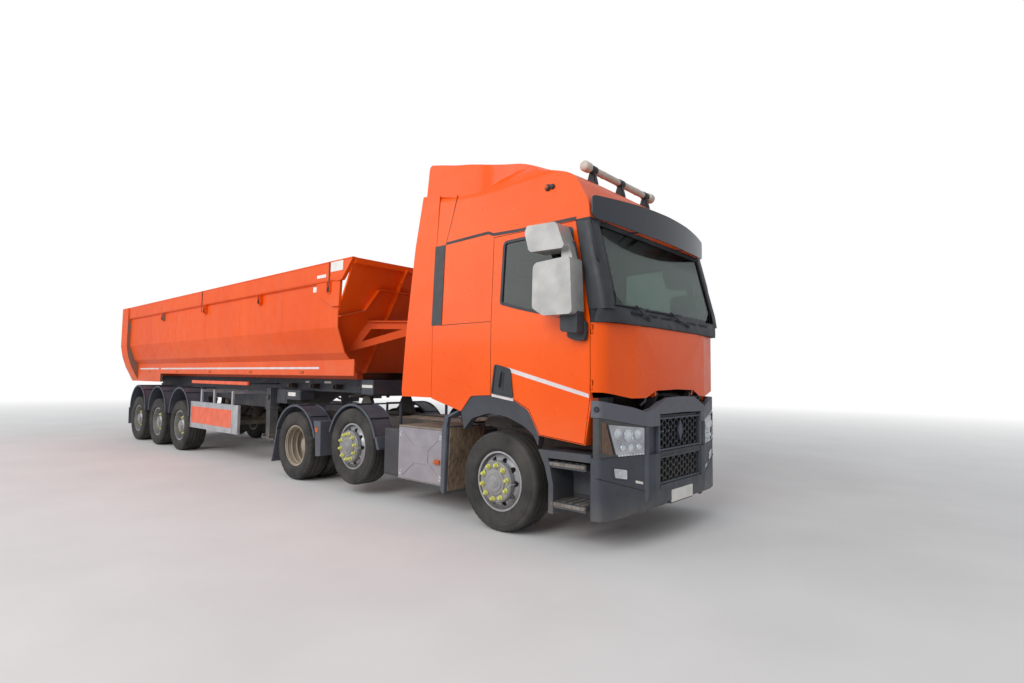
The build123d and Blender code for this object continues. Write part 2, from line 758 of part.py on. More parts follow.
# Cab interior: two seats, the dashboard with the wheel, the bunk
with BuildPart() as cab_interior:
    seat_on = cab_floor + cab_wall + seat_gap
    box(along(850), along(1140), -1080, 1080, 1700, 2120)
    both_boxes(along(960), along(1060), 400, 500, seat_on, 1710)
    for y in (-650, 650):
        box(along(-100), along(420), y - 240, y + 240, 1700, 1900)
        box(along(0), along(350), y - 150, y + 150, seat_on, 1710)
        box(along(-220), along(-80), y - 240, y + 240, 1800, 2650)
    box(along(-900), along(-350), -830, 830, seat_on, 1800)
finish(cab_interior, "cab_interior")

# Cab fairings: the roof spoiler and the side fairings behind the cab
fairing_front = cab_rear - running_gap
with BuildPart() as cab_fairings:
    spoiler_side = [(590, 3560), (580, 3655), (100, 3880, 900), (-500, 4020, 2000), (-1250, 4090, 60)]
    spoiler_side += [(-1300, 3712), (-700, 3650), (-300, 3600)]
    side_slab(from_axle(spoiler_side), -1172, 1172)
    spoiler_plan = [(-1310, 1150), (-1000, 1172), (-300, 1150, 900), (600, 790)]
    plan_slab(mirrored(from_axle(spoiler_plan)), 3500, 4200, mode=Mode.INTERSECT)
    cab_envelope(0, mode=Mode.SUBTRACT)
    for side in (-1, 1):
        skin = [(1250, 1310), (1250, belt_height), (1215, 3000), (1176, 3706)]
        skin += [(1146, 3706), (1185, 3000), (1220, belt_height), (1220, 1310)]
        fairing = [(fairing_front, 1310), (fairing_front, 3706), (-1335, 3706), (-1419, 3112), (-1572, 1383)]
        with BuildSketch(Plane.YZ.offset(along(-1580))) as section:
            with BuildLine():
                outline_of([(side * y, z) for y, z in skin])
            make_face()
        with BuildSketch(Plane.XZ.offset(-1300)) as outline:
            with BuildLine():
                outline_of(from_axle(fairing + [(-1560, 1310)]))
            make_face()
        sheet = extrude(section.sketch, amount=600, mode=Mode.PRIVATE)
        add(sheet & extrude(outline.sketch, amount=2600, mode=Mode.PRIVATE))
        box(along(-1100), along(cab_rear), *sorted((side * 1050, side * 1222)), 1500, 1560)
        box(along(-1100), along(cab_rear), *sorted((side * 1050, side * 1170)), 3400, 3460)
finish(cab_fairings, "cab_fairings")

# Dark trim: sun visor on brackets, vent strips and the bands over the wheel arches
visor_ends = (1108, 1214)
visor_middle = 1262
visor_low = 2975
visor_high = 3260


def visor_x(y):
    """Place of the visor's back at a distance from the middle."""
    return visor_middle - 10 - (visor_middle - visor_ends[0]) * (y / visor_ends[1]) ** 2


with BuildPart() as cab_trim:
    with BuildSketch(Plane.XY.offset(visor_low)) as band:
        with BuildLine():
            end_x, end_y = along(visor_ends[0]), visor_ends[1]
            outer = ThreePointArc((end_x, end_y), (along(visor_middle), 0), (end_x, -end_y))
            inner = ThreePointArc((end_x - 10, end_y), (along(visor_middle - 10), 0), (end_x - 10, -end_y))
            Line(outer @ 0, inner @ 0)
            Line(outer @ 1, inner @ 1)
        make_face()
    extrude(band.sketch, amount=visor_high - visor_low)
    visor_front = [(0, visor_high), (500, 3255), (1210, 3230, 40)]
    visor_front += [(1210, 3020, 60), (500, 2978, 500), (0, visor_low)]
    cross_slab(crossed(visor_front), along(900), along(1400), mode=Mode.INTERSECT)
    for y in (-700, 0, 700):
        front = visor_x(y) + 2
        bracket = [(1067 + seat_gap, 3140), (1063 + seat_gap, 3170), (front, 3170), (front, 3140)]
        side_slab(from_axle(bracket), y - 20, y + 20)
    for side in (-1, 1):
        strip = [(1248.8, 2130), (1215.8, 3000), (1213, 3050), (1219, 3050), (1222.5, 3000), (1256, 2130)]
        cross_slab([(side * y, z) for y, z in strip], along(-1046), along(-880))
        band = [(x, z - seat_gap, *radius) for x, z, *radius in arch_edge]
        band += [(520, 900), (485, 960), (462, 1000, 100), (335, 1079, 300), (115, 1156, 400)]
        band += [(-140, 1180, 300), (-383, 1112, 100), (-500, 990)]
        side_slab(from_axle(band), *sorted((side * 1150, side * 1238)))
finish(cab_trim, "cab_trim")

# Light bar on the roof
bar_x = 680
bar_z = 3745
bar_half = 720
with BuildPart() as light_bar:
    rod((along(bar_x), -bar_half, bar_z), (along(bar_x), bar_half, bar_z), 38)
    for y in (-560, 0, 560):
        foot = [(x, roof_height(x) + seat_gap) for x in (bar_x - 45, bar_x + 45)]
        foot += [(bar_x + 20, bar_z - 20), (bar_x - 20, bar_z - 20)]
        side_slab(from_axle(foot), y - 30, y + 30)
finish(light_bar, "light_bar")

# Trailer frame: neck, deep rear beams, crossmembers, kingpin, landing legs and underrun bar
trailer_rail_half = 550
trailer_web = 12
trailer_flange = 150
neck_bottom = coupling_height
hinge_x = along(-12100)
hinge_z = 1400
hinge_radius = 30
ram_x = along(-2450)
ram_base_z = 1310
ram_eye_half = 118
ear_inner = 125
with BuildPart() as trailer_frame:
    beam = [
        (-2900, trailer_rail_top),
        (-12040, trailer_rail_top),
        (-12040, 1060),
        (-8200, 1060),
        (-7800, 950),
        (-6300, 950),
        (-5500, neck_bottom),
        (-2900, neck_bottom),
    ]
    both_slabs(from_axle(beam), trailer_rail_half - trailer_web, trailer_rail_half)
    rim_strip = [(-2900, trailer_rail_top - 20), (-2900, trailer_rail_top)]
    rim_strip += [(-12040, trailer_rail_top), (-12040, trailer_rail_top - 20)]
    both_slabs(from_axle(rim_strip), trailer_rail_half - trailer_flange, trailer_rail_half)
    box(along(-3000), along(-2720), -850, 850, neck_bottom, trailer_rail_top)
    box(along(-4300), along(-2700), -trailer_rail_half, trailer_rail_half, neck_bottom, neck_bottom + 12)
    for x in (-4200, -5500, -6900, -8200, -9500, -10800, -11900):
        box(along(x) - 50, along(x) + 50, -trailer_rail_half, trailer_rail_half, 1300, trailer_rail_top - 30)
    rod((kingpin_x, 0, neck_bottom - 80), (kingpin_x, 0, neck_bottom + 5), 25.4)
    for side in (-1, 1):
        box(along(-5920), along(-5780), *sorted((side * 680, side * 820)), 480, 1320)
        box(along(-5990), along(-5710), *sorted((side * 640, side * 860)), 450, 480)
        box(along(-5900), along(-5800), *sorted((side * trailer_rail_half, side * 690)), 1150, 1300)
        lug = [(-12040, 1300), (-12100, 1340), (-12160, 1370), (-12160, 1430), (-12100, 1460), (-12040, 1480)]
        side_slab(from_axle(lug), *sorted((side * 470, side * trailer_rail_half)))
        ear = [(-2730, 1300), (-2400, 1250), (-2390, 1370), (-2730, 1480)]
        side_slab(from_axle(ear), *sorted((side * ear_inner, side * (ear_inner + 30))))
    box(along(-12230), along(-12130), -1180, 1180, 480, 600)
    both_boxes(along(-12200), along(-12040), 480, 540, 560, 1310)
    rod((hinge_x, -600, hinge_z), (hinge_x, 600, hinge_z), hinge_radius - pin_gap)
finish(trailer_frame, "trailer_frame")

# Trailer axles with their trailing arms and hanger brackets
with BuildPart() as trailer_axles:
    for x in bogie_x:
        rod((x, -trailer_track - 60, tyre_radius), (x, trailer_track + 60, tyre_radius), hub_bore)
        for side in (-1, 1):
            arm = [(x + 520, 860), (x + 450, 860), (x - 60, 600), (x - 400, 560), (x - 400, 500)]
            arm += [(x - 60, 510), (x + 60, 560), (x + 520, 790)]
            side_slab(arm, *sorted((side * 480, side * 560)))
            side_slab(
                [(x + 400, 1060), (x + 560, 1060), (x + 530, 780), (x + 440, 780)],
                *sorted((side * 470, side * 500)),
            )
            rod((x - 300, side * 520, 540), (x - 300, side * 520, 1060), 110)
finish(trailer_axles, "trailer_axles")

# Trailer mudguards: an arch over each wheel
trailer_guard = 530
trailer_guard_z = 715
with BuildPart() as trailer_mudguards:
    for x in bogie_x:
        for side in (-1, 1):
            y_pair = sorted((side * 850, side * 1245))
            arch(x, trailer_guard_z, trailer_guard, 0, 180, *y_pair, guard_wall)
            top = trailer_guard_z + trailer_guard + guard_wall
            box(x - 20, x + 20, *sorted((side * trailer_rail_half, side * 1240)), top - 5, top + 20)
finish(trailer_mudguards, "trailer_mudguards")

# Side guards
with BuildPart() as side_guards:
    for side in (-1, 1):
        box(along(-8290), along(-6140), *sorted((side * 1170, side * 1210)), 505, 1010)
        for x in (-7900, -7300, -6500):
            box(along(x) - 30, along(x) + 30, *sorted((side * 1140, side * 1171)), 700, 1250)
            box(along(x) - 30, along(x) + 30, *sorted((side * trailer_rail_half, side * 1171)), 1200, 1250)
finish(side_guards, "side_guards")

# Tipping body: a folded half-pipe shell with rails, sills, rear frame and raked bulkhead
body_wall = 16
side_face = 1205
body_rear = along(-12920)
band_front = along(-12450)
rear_box_front = along(-10830)
body_front = along(-3100)
sill_front = along(-2980)
bulkhead_foot = (-3550, 1590)
bulkhead_head = (-2750, 3105)
bulkhead_depth = 30
rib_depth = 90
shell_half = [(side_face, body_rim), (side_face, 2220), (1085, 1870), (930, 1690), (640, body_floor)]
band_half = [(1275, body_rim), (1275, 2210), (1230, 1950), (1150, 1700), (985, 1355)]
rail_face = 1250
gate_hinge_x = along(-12963)
gate_hinge_z = 3120
gate_pin = 14
ram_trunnion_z = 2250
ram_trunnion_radius = 40


def shell_height(y):
    """Height of the shell's outside at a distance from the middle."""
    for (y_out, z_out), (y_in, z_in) in zip(shell_half, shell_half[1:]):
        if y_in <= y <= y_out and y_in < y_out:
            return z_in + (z_out - z_in) * (y - y_in) / (y_out - y_in)


def bulkhead_x(z):
    """Place of the bulkhead's front face at a height."""
    (x_low, z_low), (x_high, z_high) = bulkhead_foot, bulkhead_head
    return along(x_low + (x_high - x_low) * (z - z_low) / (z_high - z_low))


arm_low = 1890
arm_high = 2345
arm_wall = 20
arm_flange = 110
arm_run = 869
arm_spread = 660


def arm_reach(z):
    """Length of a trunnion arm from its front end to the bulkhead at a height."""
    return (ram_x - 80 - bulkhead_x(z)) * hypot(arm_run, arm_spread) / arm_run + 12


def pipe_sketch(x, inset, open_top):
    """The half-pipe's cross-section at x, moved inwards by the inset."""
    with BuildSketch(Plane.YZ.offset(x)) as section:
        with BuildLine():
            Polyline(*reflected(shell_half), close=True)
        make_face()
        if inset:
            offset(amount=-inset, kind=Kind.INTERSECTION, mode=Mode.REPLACE)
        if open_top:
            with Locations((0, body_rim)):
                Rectangle(2 * (side_face - inset), 4 * inset + 20)
    return section.sketch


with BuildPart() as tipper_body:
    extrude(pipe_sketch(body_rear, 0, False), amount=body_front - body_rear)
    with BuildSketch(Plane.YZ.offset(body_rear)) as band:
        with BuildLine():
            Polyline(*reflected(band_half), close=True)
        make_face()
    extrude(band.sketch, amount=band_front - body_rear)
    for side in (-1, 1):
        rail = [(side_face - 10, 2850), (rail_face, 2880), (rail_face, body_rim), (side_face - 10, body_rim)]
        nose = [(-2690, body_rim), (-2960, 2870), (-3100, 2860), (-3100, body_rim)]
        cross_slab([(side * y, z) for y, z in rail], band_front - 10, along(-3050))
        side_slab(from_axle(nose), *sorted((side * (side_face - 10), side * rail_face)))
        gusset = [(-3640, 2700), (-3040, 2505), (-3020, 2870), (-3640, 2870)]
        side_slab(from_axle(gusset), *sorted((side * (side_face - 10), side * (side_face + 28))))
        sill = [(980, 1545), (1000, 1545), (1000, shell_height(1000) + 8), (980, shell_height(980) + 8)]
        cross_slab([(side * y, z) for y, z in sill], rear_box_front - 10, sill_front)
        rear_box = [(950, 1355), (1000, 1355), (1000, shell_height(1000) + 8), (950, shell_height(950) + 8)]
        cross_slab([(side * y, z) for y, z in rear_box], band_front - 10, rear_box_front)
        runner_y = sorted((side * 430, side * 540))
        box(band_front, along(-3600), *runner_y, trailer_rail_top + seat_gap, body_floor + 8)
    hollow = pipe_sketch(body_rear - 10, body_wall, True)
    extrude(hollow, amount=body_front - body_rear + 20, mode=Mode.SUBTRACT)
    box(along(-3560), along(-2900), -975, 975, 1500, 1760, mode=Mode.SUBTRACT)
    (x_low, z_low), (x_high, z_high) = bulkhead_foot, bulkhead_head
    sheet = [bulkhead_foot, bulkhead_head]
    sheet += [(x_high - bulkhead_depth, z_high + 15), (x_low - bulkhead_depth, z_low + 15)]
    with BuildSketch(Plane.XZ.offset(-side_face)) as plate:
        with BuildLine():
            Polyline(*from_axle(sheet), close=True)
        make_face()
    plate_solid = extrude(plate.sketch, amount=2 * side_face, mode=Mode.PRIVATE)
    inside = extrude(pipe_sketch(along(x_low - 100), body_wall / 2, False), amount=1000, mode=Mode.PRIVATE)
    add(plate_solid & inside)
    rib_zone = [bulkhead_foot, bulkhead_head, (x_high + rib_depth, z_high), (x_low + rib_depth, z_low)]
    with BuildSketch(Plane.XZ.offset(-side_face)) as zone:
        with BuildLine():
            outline_of(from_axle(rib_zone))
        make_face()
    zone_solid = extrude(zone.sketch, amount=2 * side_face, mode=Mode.PRIVATE)
    with BuildSketch(Plane.YZ.offset(along(-3700))) as ribs:
        for side in (-1, 1):
            with BuildLine():
                outline_of([(side * y, z) for y, z in ((470, 1500), (330, 3100), (350, 3100), (490, 1500))])
            make_face()
        with BuildLine():
            flange_top = [(1196, 2380), (830, 2480, 60), (700, 2790, 40), (0, 2835)]
            flange_foot = [(1196, 2366), (822, 2466, 60), (690, 2775, 40), (0, 2820)]
            half = flange_top[:-1] + [(-y, z, *rest) for y, z, *rest in reversed(flange_top[:-1])]
            other = [(-y, z, *rest) for y, z, *rest in flange_foot[:-1]] + flange_foot[-2::-1]
            outline_of(half + other)
        make_face()
    add(zone_solid & extrude(ribs.sketch, amount=1100, mode=Mode.PRIVATE))
    ledge = [(-2860, 3075), (-2705, 3075), (-2690, body_rim - 1), (-2880, body_rim - 1)]
    side_slab(from_axle(ledge), -side_face + 5, side_face - 5)
    for side in (-1, 1):
        lug = [(-12048, 1608), (-12060, 1390), (-12100, 1345), (-12150, 1390), (-12170, 1608)]
        side_slab(from_axle(lug), *sorted((side * 400, side * 455)))
        lug = [(ram_x - 90, 2190), (ram_x + 55, 2190, 40), (ram_x + 55, 2310, 40), (ram_x - 90, 2345)]
        side_slab(lug, *sorted((side * 170, side * 210)))
        arm_plane = Plane(
            origin=(ram_x - 80, side * 190, 0),
            x_dir=(-arm_run, side * arm_spread, 0),
            z_dir=(side * arm_spread, arm_run, 0),
        )
        low_end, high_end = arm_reach(arm_low), arm_reach(arm_high)
        with BuildSketch(arm_plane.offset(-arm_wall / 2)) as plate:
            with BuildLine():
                Polyline((0, 2190), (0, arm_high), (high_end, arm_high), (low_end, arm_low), close=True)
            make_face()
            with BuildLine():
                hole_top = arm_high - 110
                Polyline(
                    (260, hole_top),
                    (arm_reach(hole_top) - 130, hole_top),
                    (arm_reach(arm_low + 110) - 150, arm_low + 160),
                    close=True,
                )
            make_face(mode=Mode.SUBTRACT)
        extrude(plate.sketch, amount=arm_wall)
        with BuildSketch(arm_plane.offset(-arm_flange / 2)) as flange:
            with BuildLine():
                Polyline(
                    (0, arm_high - 8),
                    (0, arm_high + 8),
                    (arm_reach(arm_high + 8), arm_high + 8),
                    (high_end, arm_high - 8),
                    close=True,
                )
            make_face()
        extrude(flange.sketch, amount=arm_flange)
        post = [(-12910, 3030), (-12993, 3095), (-12993, 3145), (-12910, body_rim - 1)]
        side_slab(from_axle(post), *sorted((side * 1192, side * 1230)))
        pin = sorted((side * 1140, side * 1200))
        rod((gate_hinge_x, pin[0], gate_hinge_z), (gate_hinge_x, pin[1], gate_hinge_z), gate_pin)
    rod((hinge_x, -700, hinge_z), (hinge_x, 700, hinge_z), hinge_radius, mode=Mode.SUBTRACT)
    trunnion = (ram_x, -300, ram_trunnion_z), (ram_x, 300, ram_trunnion_z)
    rod(*trunnion, ram_trunnion_radius, mode=Mode.SUBTRACT)
finish(tipper_body, "tipper_body")

# Tailgate, hung from arms over the rear frame's posts
with BuildPart() as tailgate:
    gate = [(1240, 3020), (1240, 2200), (1195, 1950), (1110, 1730), (1000, 1560)]
    cross_slab(reflected(gate), along(-rear_reach), body_rear - running_gap)
    for side in (-1, 1):
        arm = [(-12988, 3010), (-12988, 3120), (-12976, 3142, 8)]
        arm += [(-12950, 3142, 8), (-12938, 3120), (-12938, 3010)]
        side_slab(from_axle(arm), *sorted((side * 1150, side * 1185)))
        hole = (gate_hinge_x, side * 1140, gate_hinge_z), (gate_hinge_x, side * 1190, gate_hinge_z)
        rod(*hole, gate_pin + pin_gap, mode=Mode.SUBTRACT)
finish(tailgate, "tailgate")

# Telescopic ram: the cover hangs by its trunnions in the body's arms, the stages slide down out of it
ram_cover_radius = 115
ram_wall = 6
ram_gap = 4
ram_ring = 40
cover_low = 1390
cover_high = 3110
with BuildPart() as ram_cover:
    rod((ram_x, 0, cover_low), (ram_x, 0, cover_high), ram_cover_radius)
    bore = ram_cover_radius - ram_wall
    rod((ram_x, 0, cover_low + ram_ring), (ram_x, 0, cover_high - 20), bore, mode=Mode.SUBTRACT)
    gland = bore - ram_gap + pin_gap
    rod((ram_x, 0, cover_low - 10), (ram_x, 0, cover_low + 2 * ram_ring), gland, mode=Mode.SUBTRACT)
    for side in (-1, 1):
        arm_end = (ram_x, side * 225, ram_trunnion_z)
        rod((ram_x, side * (ram_cover_radius - 3), ram_trunnion_z), arm_end, ram_trunnion_radius - pin_gap)
finish(ram_cover, "ram_cover")

for stage in (1, 2, 3, 4, 5):
    radius = ram_cover_radius - stage * (ram_wall + ram_gap)
    with BuildPart() as ram_stage:
        low = cover_low - 2 - 8 * (stage - 1)
        high = cover_high - 30 - 6 * stage
        rod((ram_x, 0, low), (ram_x, 0, high), radius)
        rod((ram_x, 0, high - ram_ring), (ram_x, 0, high), radius + ram_gap - pin_gap)
        if stage < 5:
            rod((ram_x, 0, low + ram_ring), (ram_x, 0, high + 1), radius - ram_wall, mode=Mode.SUBTRACT)
            gland = radius - ram_wall - ram_gap + pin_gap
            rod((ram_x, 0, low - 10), (ram_x, 0, low + 2 * ram_ring), gland, mode=Mode.SUBTRACT)
        else:
            rod((ram_x, 0, ram_base_z - 5), (ram_x, 0, low + 5), 45)
            rod((ram_x, -ram_eye_half, ram_base_z), (ram_x, ram_eye_half, ram_base_z), 50)
    finish(ram_stage, f"ram_stage_{stage}")
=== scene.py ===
import json
import math

import bmesh
import bpy
from mathutils import Matrix, Vector


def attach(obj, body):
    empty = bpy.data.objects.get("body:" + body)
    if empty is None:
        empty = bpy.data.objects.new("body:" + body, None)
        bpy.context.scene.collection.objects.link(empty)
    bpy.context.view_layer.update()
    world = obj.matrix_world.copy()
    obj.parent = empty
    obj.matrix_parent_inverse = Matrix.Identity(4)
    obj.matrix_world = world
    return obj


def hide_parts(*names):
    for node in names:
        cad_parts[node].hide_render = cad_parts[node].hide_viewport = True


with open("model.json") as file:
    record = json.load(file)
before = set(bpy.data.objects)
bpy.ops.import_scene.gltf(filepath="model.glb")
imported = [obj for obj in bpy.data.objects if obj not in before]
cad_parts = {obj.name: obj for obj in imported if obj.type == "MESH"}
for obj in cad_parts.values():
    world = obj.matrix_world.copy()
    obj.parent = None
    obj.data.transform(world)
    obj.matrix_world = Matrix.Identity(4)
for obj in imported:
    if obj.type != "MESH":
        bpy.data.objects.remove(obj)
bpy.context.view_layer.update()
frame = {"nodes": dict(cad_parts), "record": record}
scene = bpy.context.scene

# Places in metres: the front axle's in the frame, and all others as they lie from the front axle
FRONT_AXLE_X = 5.8
PUSHER_X = -2.636
DRIVE_X = -4.133
BOGIE_X = (-8.855, -10.166, -11.477)
TYRE_RADIUS = 0.5
PUSHER_LIFT = 0.12
SINGLE_TRACK = 1.084
TRAILER_TRACK = 1.045
BELT_Z = 2.085
ROOF_Z = 3.4
ROOF_HALF = 1.15
SCREEN_FOOT_Z = 2.185
SCREEN_LEAN = 0.2485
PILLAR_LEAN = 0.1925
RAM_X = -2.45
SIDES = {"right": -1, "left": 1}


# Materials
def linear(*colour):
    """0-255 screen values as linear light."""
    shares = [value / 255 for value in colour]
    return (*(c / 12.92 if c <= 0.04045 else ((c + 0.055) / 1.055) ** 2.4 for c in shares), 1.0)


def feed(tree, socket, value):
    """A socket gets a value, or a link from another socket."""
    if isinstance(value, bpy.types.NodeSocket):
        tree.links.new(value, socket)
    else:
        socket.default_value = value


def add_node(tree, kind, inputs=(), **settings):
    """A node with its settings; each input is a value or the socket that feeds it."""
    node = tree.nodes.new(kind)
    for key, value in settings.items():
        setattr(node, key, value)
    for key, value in dict(inputs).items():
        feed(tree, node.inputs[key], value)
    return node


ORANGE = linear(246, 92, 8)
ORANGE_SHADE = linear(238, 84, 4)
DUST = linear(176, 160, 140)
looks = {}


class Surface:
    """A node material that is built up step by step."""

    def __init__(self, look, name=None):
        self.material = bpy.data.materials.new(name or look)
        self.material.use_nodes = True
        self.tree = self.material.node_tree
        self.tree.nodes.clear()
        self.shader = self.node("ShaderNodeBsdfPrincipled")
        self.out = self.node("ShaderNodeOutputMaterial", {0: self.shader.outputs[0]})
        coordinates = self.node("ShaderNodeTexCoord").outputs
        self.place, self.normal = coordinates["Object"], coordinates["Normal"]
        looks[look] = self.material

    def node(self, kind, inputs=(), **settings):
        return add_node(self.tree, kind, inputs, **settings)

    def set(self, **values):
        for key, value in values.items():
            feed(self.tree, self.shader.inputs[key.replace("_", " ")], value)

    def noise(self, scale, detail, stretch=None):
        source = self.place
        if stretch:
            source = self.node("ShaderNodeMapping", {"Vector": source, "Scale": stretch}).outputs["Vector"]
        inputs = {"Vector": source, "Scale": scale, "Detail": detail, "Roughness": 0.55}
        return self.node("ShaderNodeTexNoise", inputs).outputs["Fac"]

    def ramp(self, source, low, high, out_low=0.0, out_high=1.0):
        inputs = {"Value": source, "From Min": low, "From Max": high, "To Min": out_low, "To Max": out_high}
        return self.node("ShaderNodeMapRange", inputs).outputs["Result"]

    def math(self, kind, first, second=0.0):
        return self.node("ShaderNodeMath", {0: first, 1: second}, operation=kind).outputs[0]

    def above(self, value, limit):
        return self.math("GREATER_THAN", value, limit)

    def below(self, value, limit):
        return self.math("LESS_THAN", value, limit)

    def both(self, first, *others):
        for other in others:
            first = self.math("MULTIPLY", first, other)
        return first

    def either(self, first, second):
        return self.math("MAXIMUM", first, second)

    def axis(self, letter, source=None):
        return self.node("ShaderNodeSeparateXYZ", {0: source or self.place}).outputs[letter]

    def mix(self, factor, first, second):
        """A colour mixed from two; each is a colour or a socket."""
        node = self.node("ShaderNodeMix", data_type="RGBA")
        feed(self.tree, node.inputs["Factor"], factor)
        for socket, value in zip([i for i in node.inputs if i.type == "RGBA"], (first, second)):
            feed(self.tree, socket, value)
        return [o for o in node.outputs if o.type == "RGBA"][0]

    def mottled(self, first, second, scale=5.0, detail=6.0, low=0.35, stretch=None):
        """Two colours in soft patches."""
        return self.mix(self.ramp(self.noise(scale, detail, stretch), low, 1.0 - low), first, second)

    def uneven(self, scale, detail, least, most, high=0.7):
        """A value that wanders between two limits."""
        return self.ramp(self.noise(scale, detail), 0.3, high, least, most)

    def dusty(self, clean, top, bottom, most, spots=1.0):
        """A clean colour that gets dustier towards the ground."""
        height = self.ramp(self.axis("Z"), bottom, top, most, 0.0)
        patch = self.ramp(self.noise(3.1 * spots, 6.0), 0.35, 0.7, 0.35, 1.0)
        return self.mix(self.both(height, patch), clean, DUST)

    def bump(self, socket, strength, distance):
        inputs = {"Height": socket, "Strength": strength, "Distance": distance}
        self.set(Normal=self.node("ShaderNodeBump", inputs).outputs["Normal"])

    def inside_of(self, centre):
        """1 where a shell's surface faces the given middle, and 0 outside."""
        apart = self.node("ShaderNodeVectorMath", {0: self.place, 1: centre}, operation="SUBTRACT").outputs[0]
        facing = self.node("ShaderNodeVectorMath", {0: self.normal, 1: apart}, operation="DOT_PRODUCT")
        return self.below(facing.outputs["Value"], 0.0)


def paint(look):
    """Orange lorry paint."""
    s = Surface(look)
    tone = s.mottled(ORANGE, ORANGE_SHADE, 0.9, 5.0, 0.3)
    s.set(Base_Color=s.dusty(tone, 1.3, 0.2, 0.35), Roughness=s.uneven(7.0, 5.0, 0.27, 0.46, 0.75))
    s.bump(s.noise(60.0, 2.0), 0.04, 0.002)
    s.set(Coat_Weight=0.12, Coat_Roughness=0.12, Specular_IOR_Level=0.22)


def plain(look, colour, shade, rough, metal=0.0, grain=40.0, depth=0.15, dust=0.3, top=1.4, coat=0.0):
    """A plain finish with two tones, a grain and dust that ends at a height."""
    s = Surface(look)
    tone = s.mottled(linear(*colour), linear(*shade), 6.0)
    s.set(Base_Color=s.dusty(tone, top, 0.2, dust))
    s.set(Roughness=s.uneven(9.0, 5.0, max(rough - 0.08, 0.03), min(rough + 0.1, 1.0)))
    s.bump(s.noise(grain, 3.0), depth, 0.002)
    s.set(Metallic=metal, Coat_Weight=coat)


def window_glass(look):
    s = Surface(look)
    tint = linear(96, 112, 106)
    s.set(Base_Color=s.mottled(tint, tuple(c * 0.8 for c in tint[:3]) + (1.0,), 2.0, 4.0, 0.3))
    s.set(Roughness=s.uneven(5.0, 3.0, 0.03, 0.06), Transmission_Weight=0.9, IOR=1.45, Specular_IOR_Level=0.6)


def cab_paint(look, name, masked):
    """Orange paint; the lining inside the cab is grey cloth, the screen's surround is black, and undersides
    and the recess behind the front panel get painted shade.
    """
    s = Surface(look, name)
    tone = s.dusty(s.mottled(ORANGE, ORANGE_SHADE, 0.9, 5.0, 0.3), 1.3, 0.9, 0.12, 2.0)
    if masked:
        x, y, z = s.axis("X"), s.axis("Y"), s.axis("Z")
        lean = s.both(s.either(s.math("SUBTRACT", z, BELT_Z), 0.0), PILLAR_LEAN)
        ahead = s.above(s.math("ADD", x, lean), FRONT_AXLE_X + 1.1)
        screen = s.both(ahead, s.above(z, 2.05), s.below(z, 3.03))
        nose = s.above(x, FRONT_AXLE_X + 0.9)
        # painted shade: faces turned downwards under the front panel are coloured dark
        underside_shade = s.both(s.below(s.axis("Z", s.normal), -0.7), s.below(z, 1.41), nose)
        middle = s.below(s.math("ABSOLUTE", y), 1.12)
        # painted shade: the recess behind the front panel's foot is coloured dark
        back = s.both(s.below(z, 1.42), nose, s.below(x, FRONT_AXLE_X + 1.24), middle)
        # one dark colour for the real black screen surround and for the painted shade
        tone = s.mix(s.either(screen, s.either(underside_shade, back)), tone, linear(34, 36, 42))
    within = s.inside_of((FRONT_AXLE_X + 0.15, 0, 2.6))
    s.set(Base_Color=s.mix(within, tone, linear(54, 52, 55)))
    s.set(Roughness=s.either(s.uneven(7.0, 5.0, 0.24, 0.4, 0.75), s.both(within, 0.85)))
    s.bump(s.noise(1.6, 2.0), 0.05, 0.01)
    s.set(Coat_Weight=0.15, Coat_Roughness=0.08, Specular_IOR_Level=0.22)


def body_paint(look):
    """The tipping body: orange with streaks of dust, worn steel inside."""
    s = Surface(look)
    tone = s.mottled(linear(240, 92, 14), linear(228, 80, 8), 0.8, 6.0, 0.3, (1, 1, 0.3))
    tone = s.mix(s.ramp(s.noise(2.2, 6.0, (3.0, 3.0, 0.35)), 0.52, 0.78, 0.0, 0.1), tone, DUST)
    tone = s.dusty(tone, 2.1, 1.4, 0.22, 2.0)
    worn = s.mottled(linear(120, 112, 104), linear(150, 96, 66), 5.0, 8.0, 0.4)
    low = s.ramp(s.axis("Z"), 2.75, 3.1, 1.0, 0.15)
    s.set(Base_Color=s.mix(s.both(s.inside_of((FRONT_AXLE_X - 8.0, 0, 3.4)), low), tone, worn))
    s.set(Roughness=s.uneven(6.0, 6.0, 0.36, 0.58, 0.75))
    s.bump(s.noise(1.3, 3.0), 0.12, 0.012)
    s.set(Coat_Weight=0.08, Coat_Roughness=0.2, Specular_IOR_Level=0.22)


def bumper_plastic(look):
    """Charcoal plastic: paler over the lamps, dusty on the steps and along the bottom."""
    s = Surface(look)
    tone = s.mottled(linear(64, 68, 76), linear(57, 61, 69))
    tone = s.mix(s.ramp(s.axis("Z"), 1.095, 1.1), tone, linear(92, 93, 101))
    back = s.ramp(s.axis("X"), FRONT_AXLE_X + 1.02, FRONT_AXLE_X + 1.12, 0.3, 0.0)
    patch = s.ramp(s.noise(6.0, 8.0), 0.35, 0.65, 0.3, 1.0)
    tone = s.mix(s.both(back, patch), tone, linear(92, 88, 84))
    s.set(Base_Color=s.dusty(tone, 0.5, 0.26, 0.22, 2.5), Roughness=s.uneven(12.0, 5.0, 0.4, 0.6))
    s.bump(s.noise(420.0, 2.0), 0.12, 0.0006)


def screen_glass(look):
    """Green-tinted windscreen with its black printed edge, and painted shade along its top under the visor.
    """
    s = Surface(look)
    tint = s.mottled(linear(176, 198, 188), linear(156, 180, 170), 1.4, 3.0, 0.3)
    z = s.axis("Z")
    edge = s.either(s.above(s.math("ABSOLUTE", s.axis("Y")), 1.035), s.below(z, 2.235))
    # painted shade: the glass darkens towards its top, under the visor
    tint = s.mix(s.ramp(z, 2.78, 2.97), tint, linear(60, 76, 72))
    s.set(Base_Color=s.mix(edge, tint, linear(16, 17, 19)), Roughness=s.uneven(5.0, 3.0, 0.02, 0.05))
    s.set(Transmission_Weight=0.95, IOR=1.33, Specular_IOR_Level=0.4)


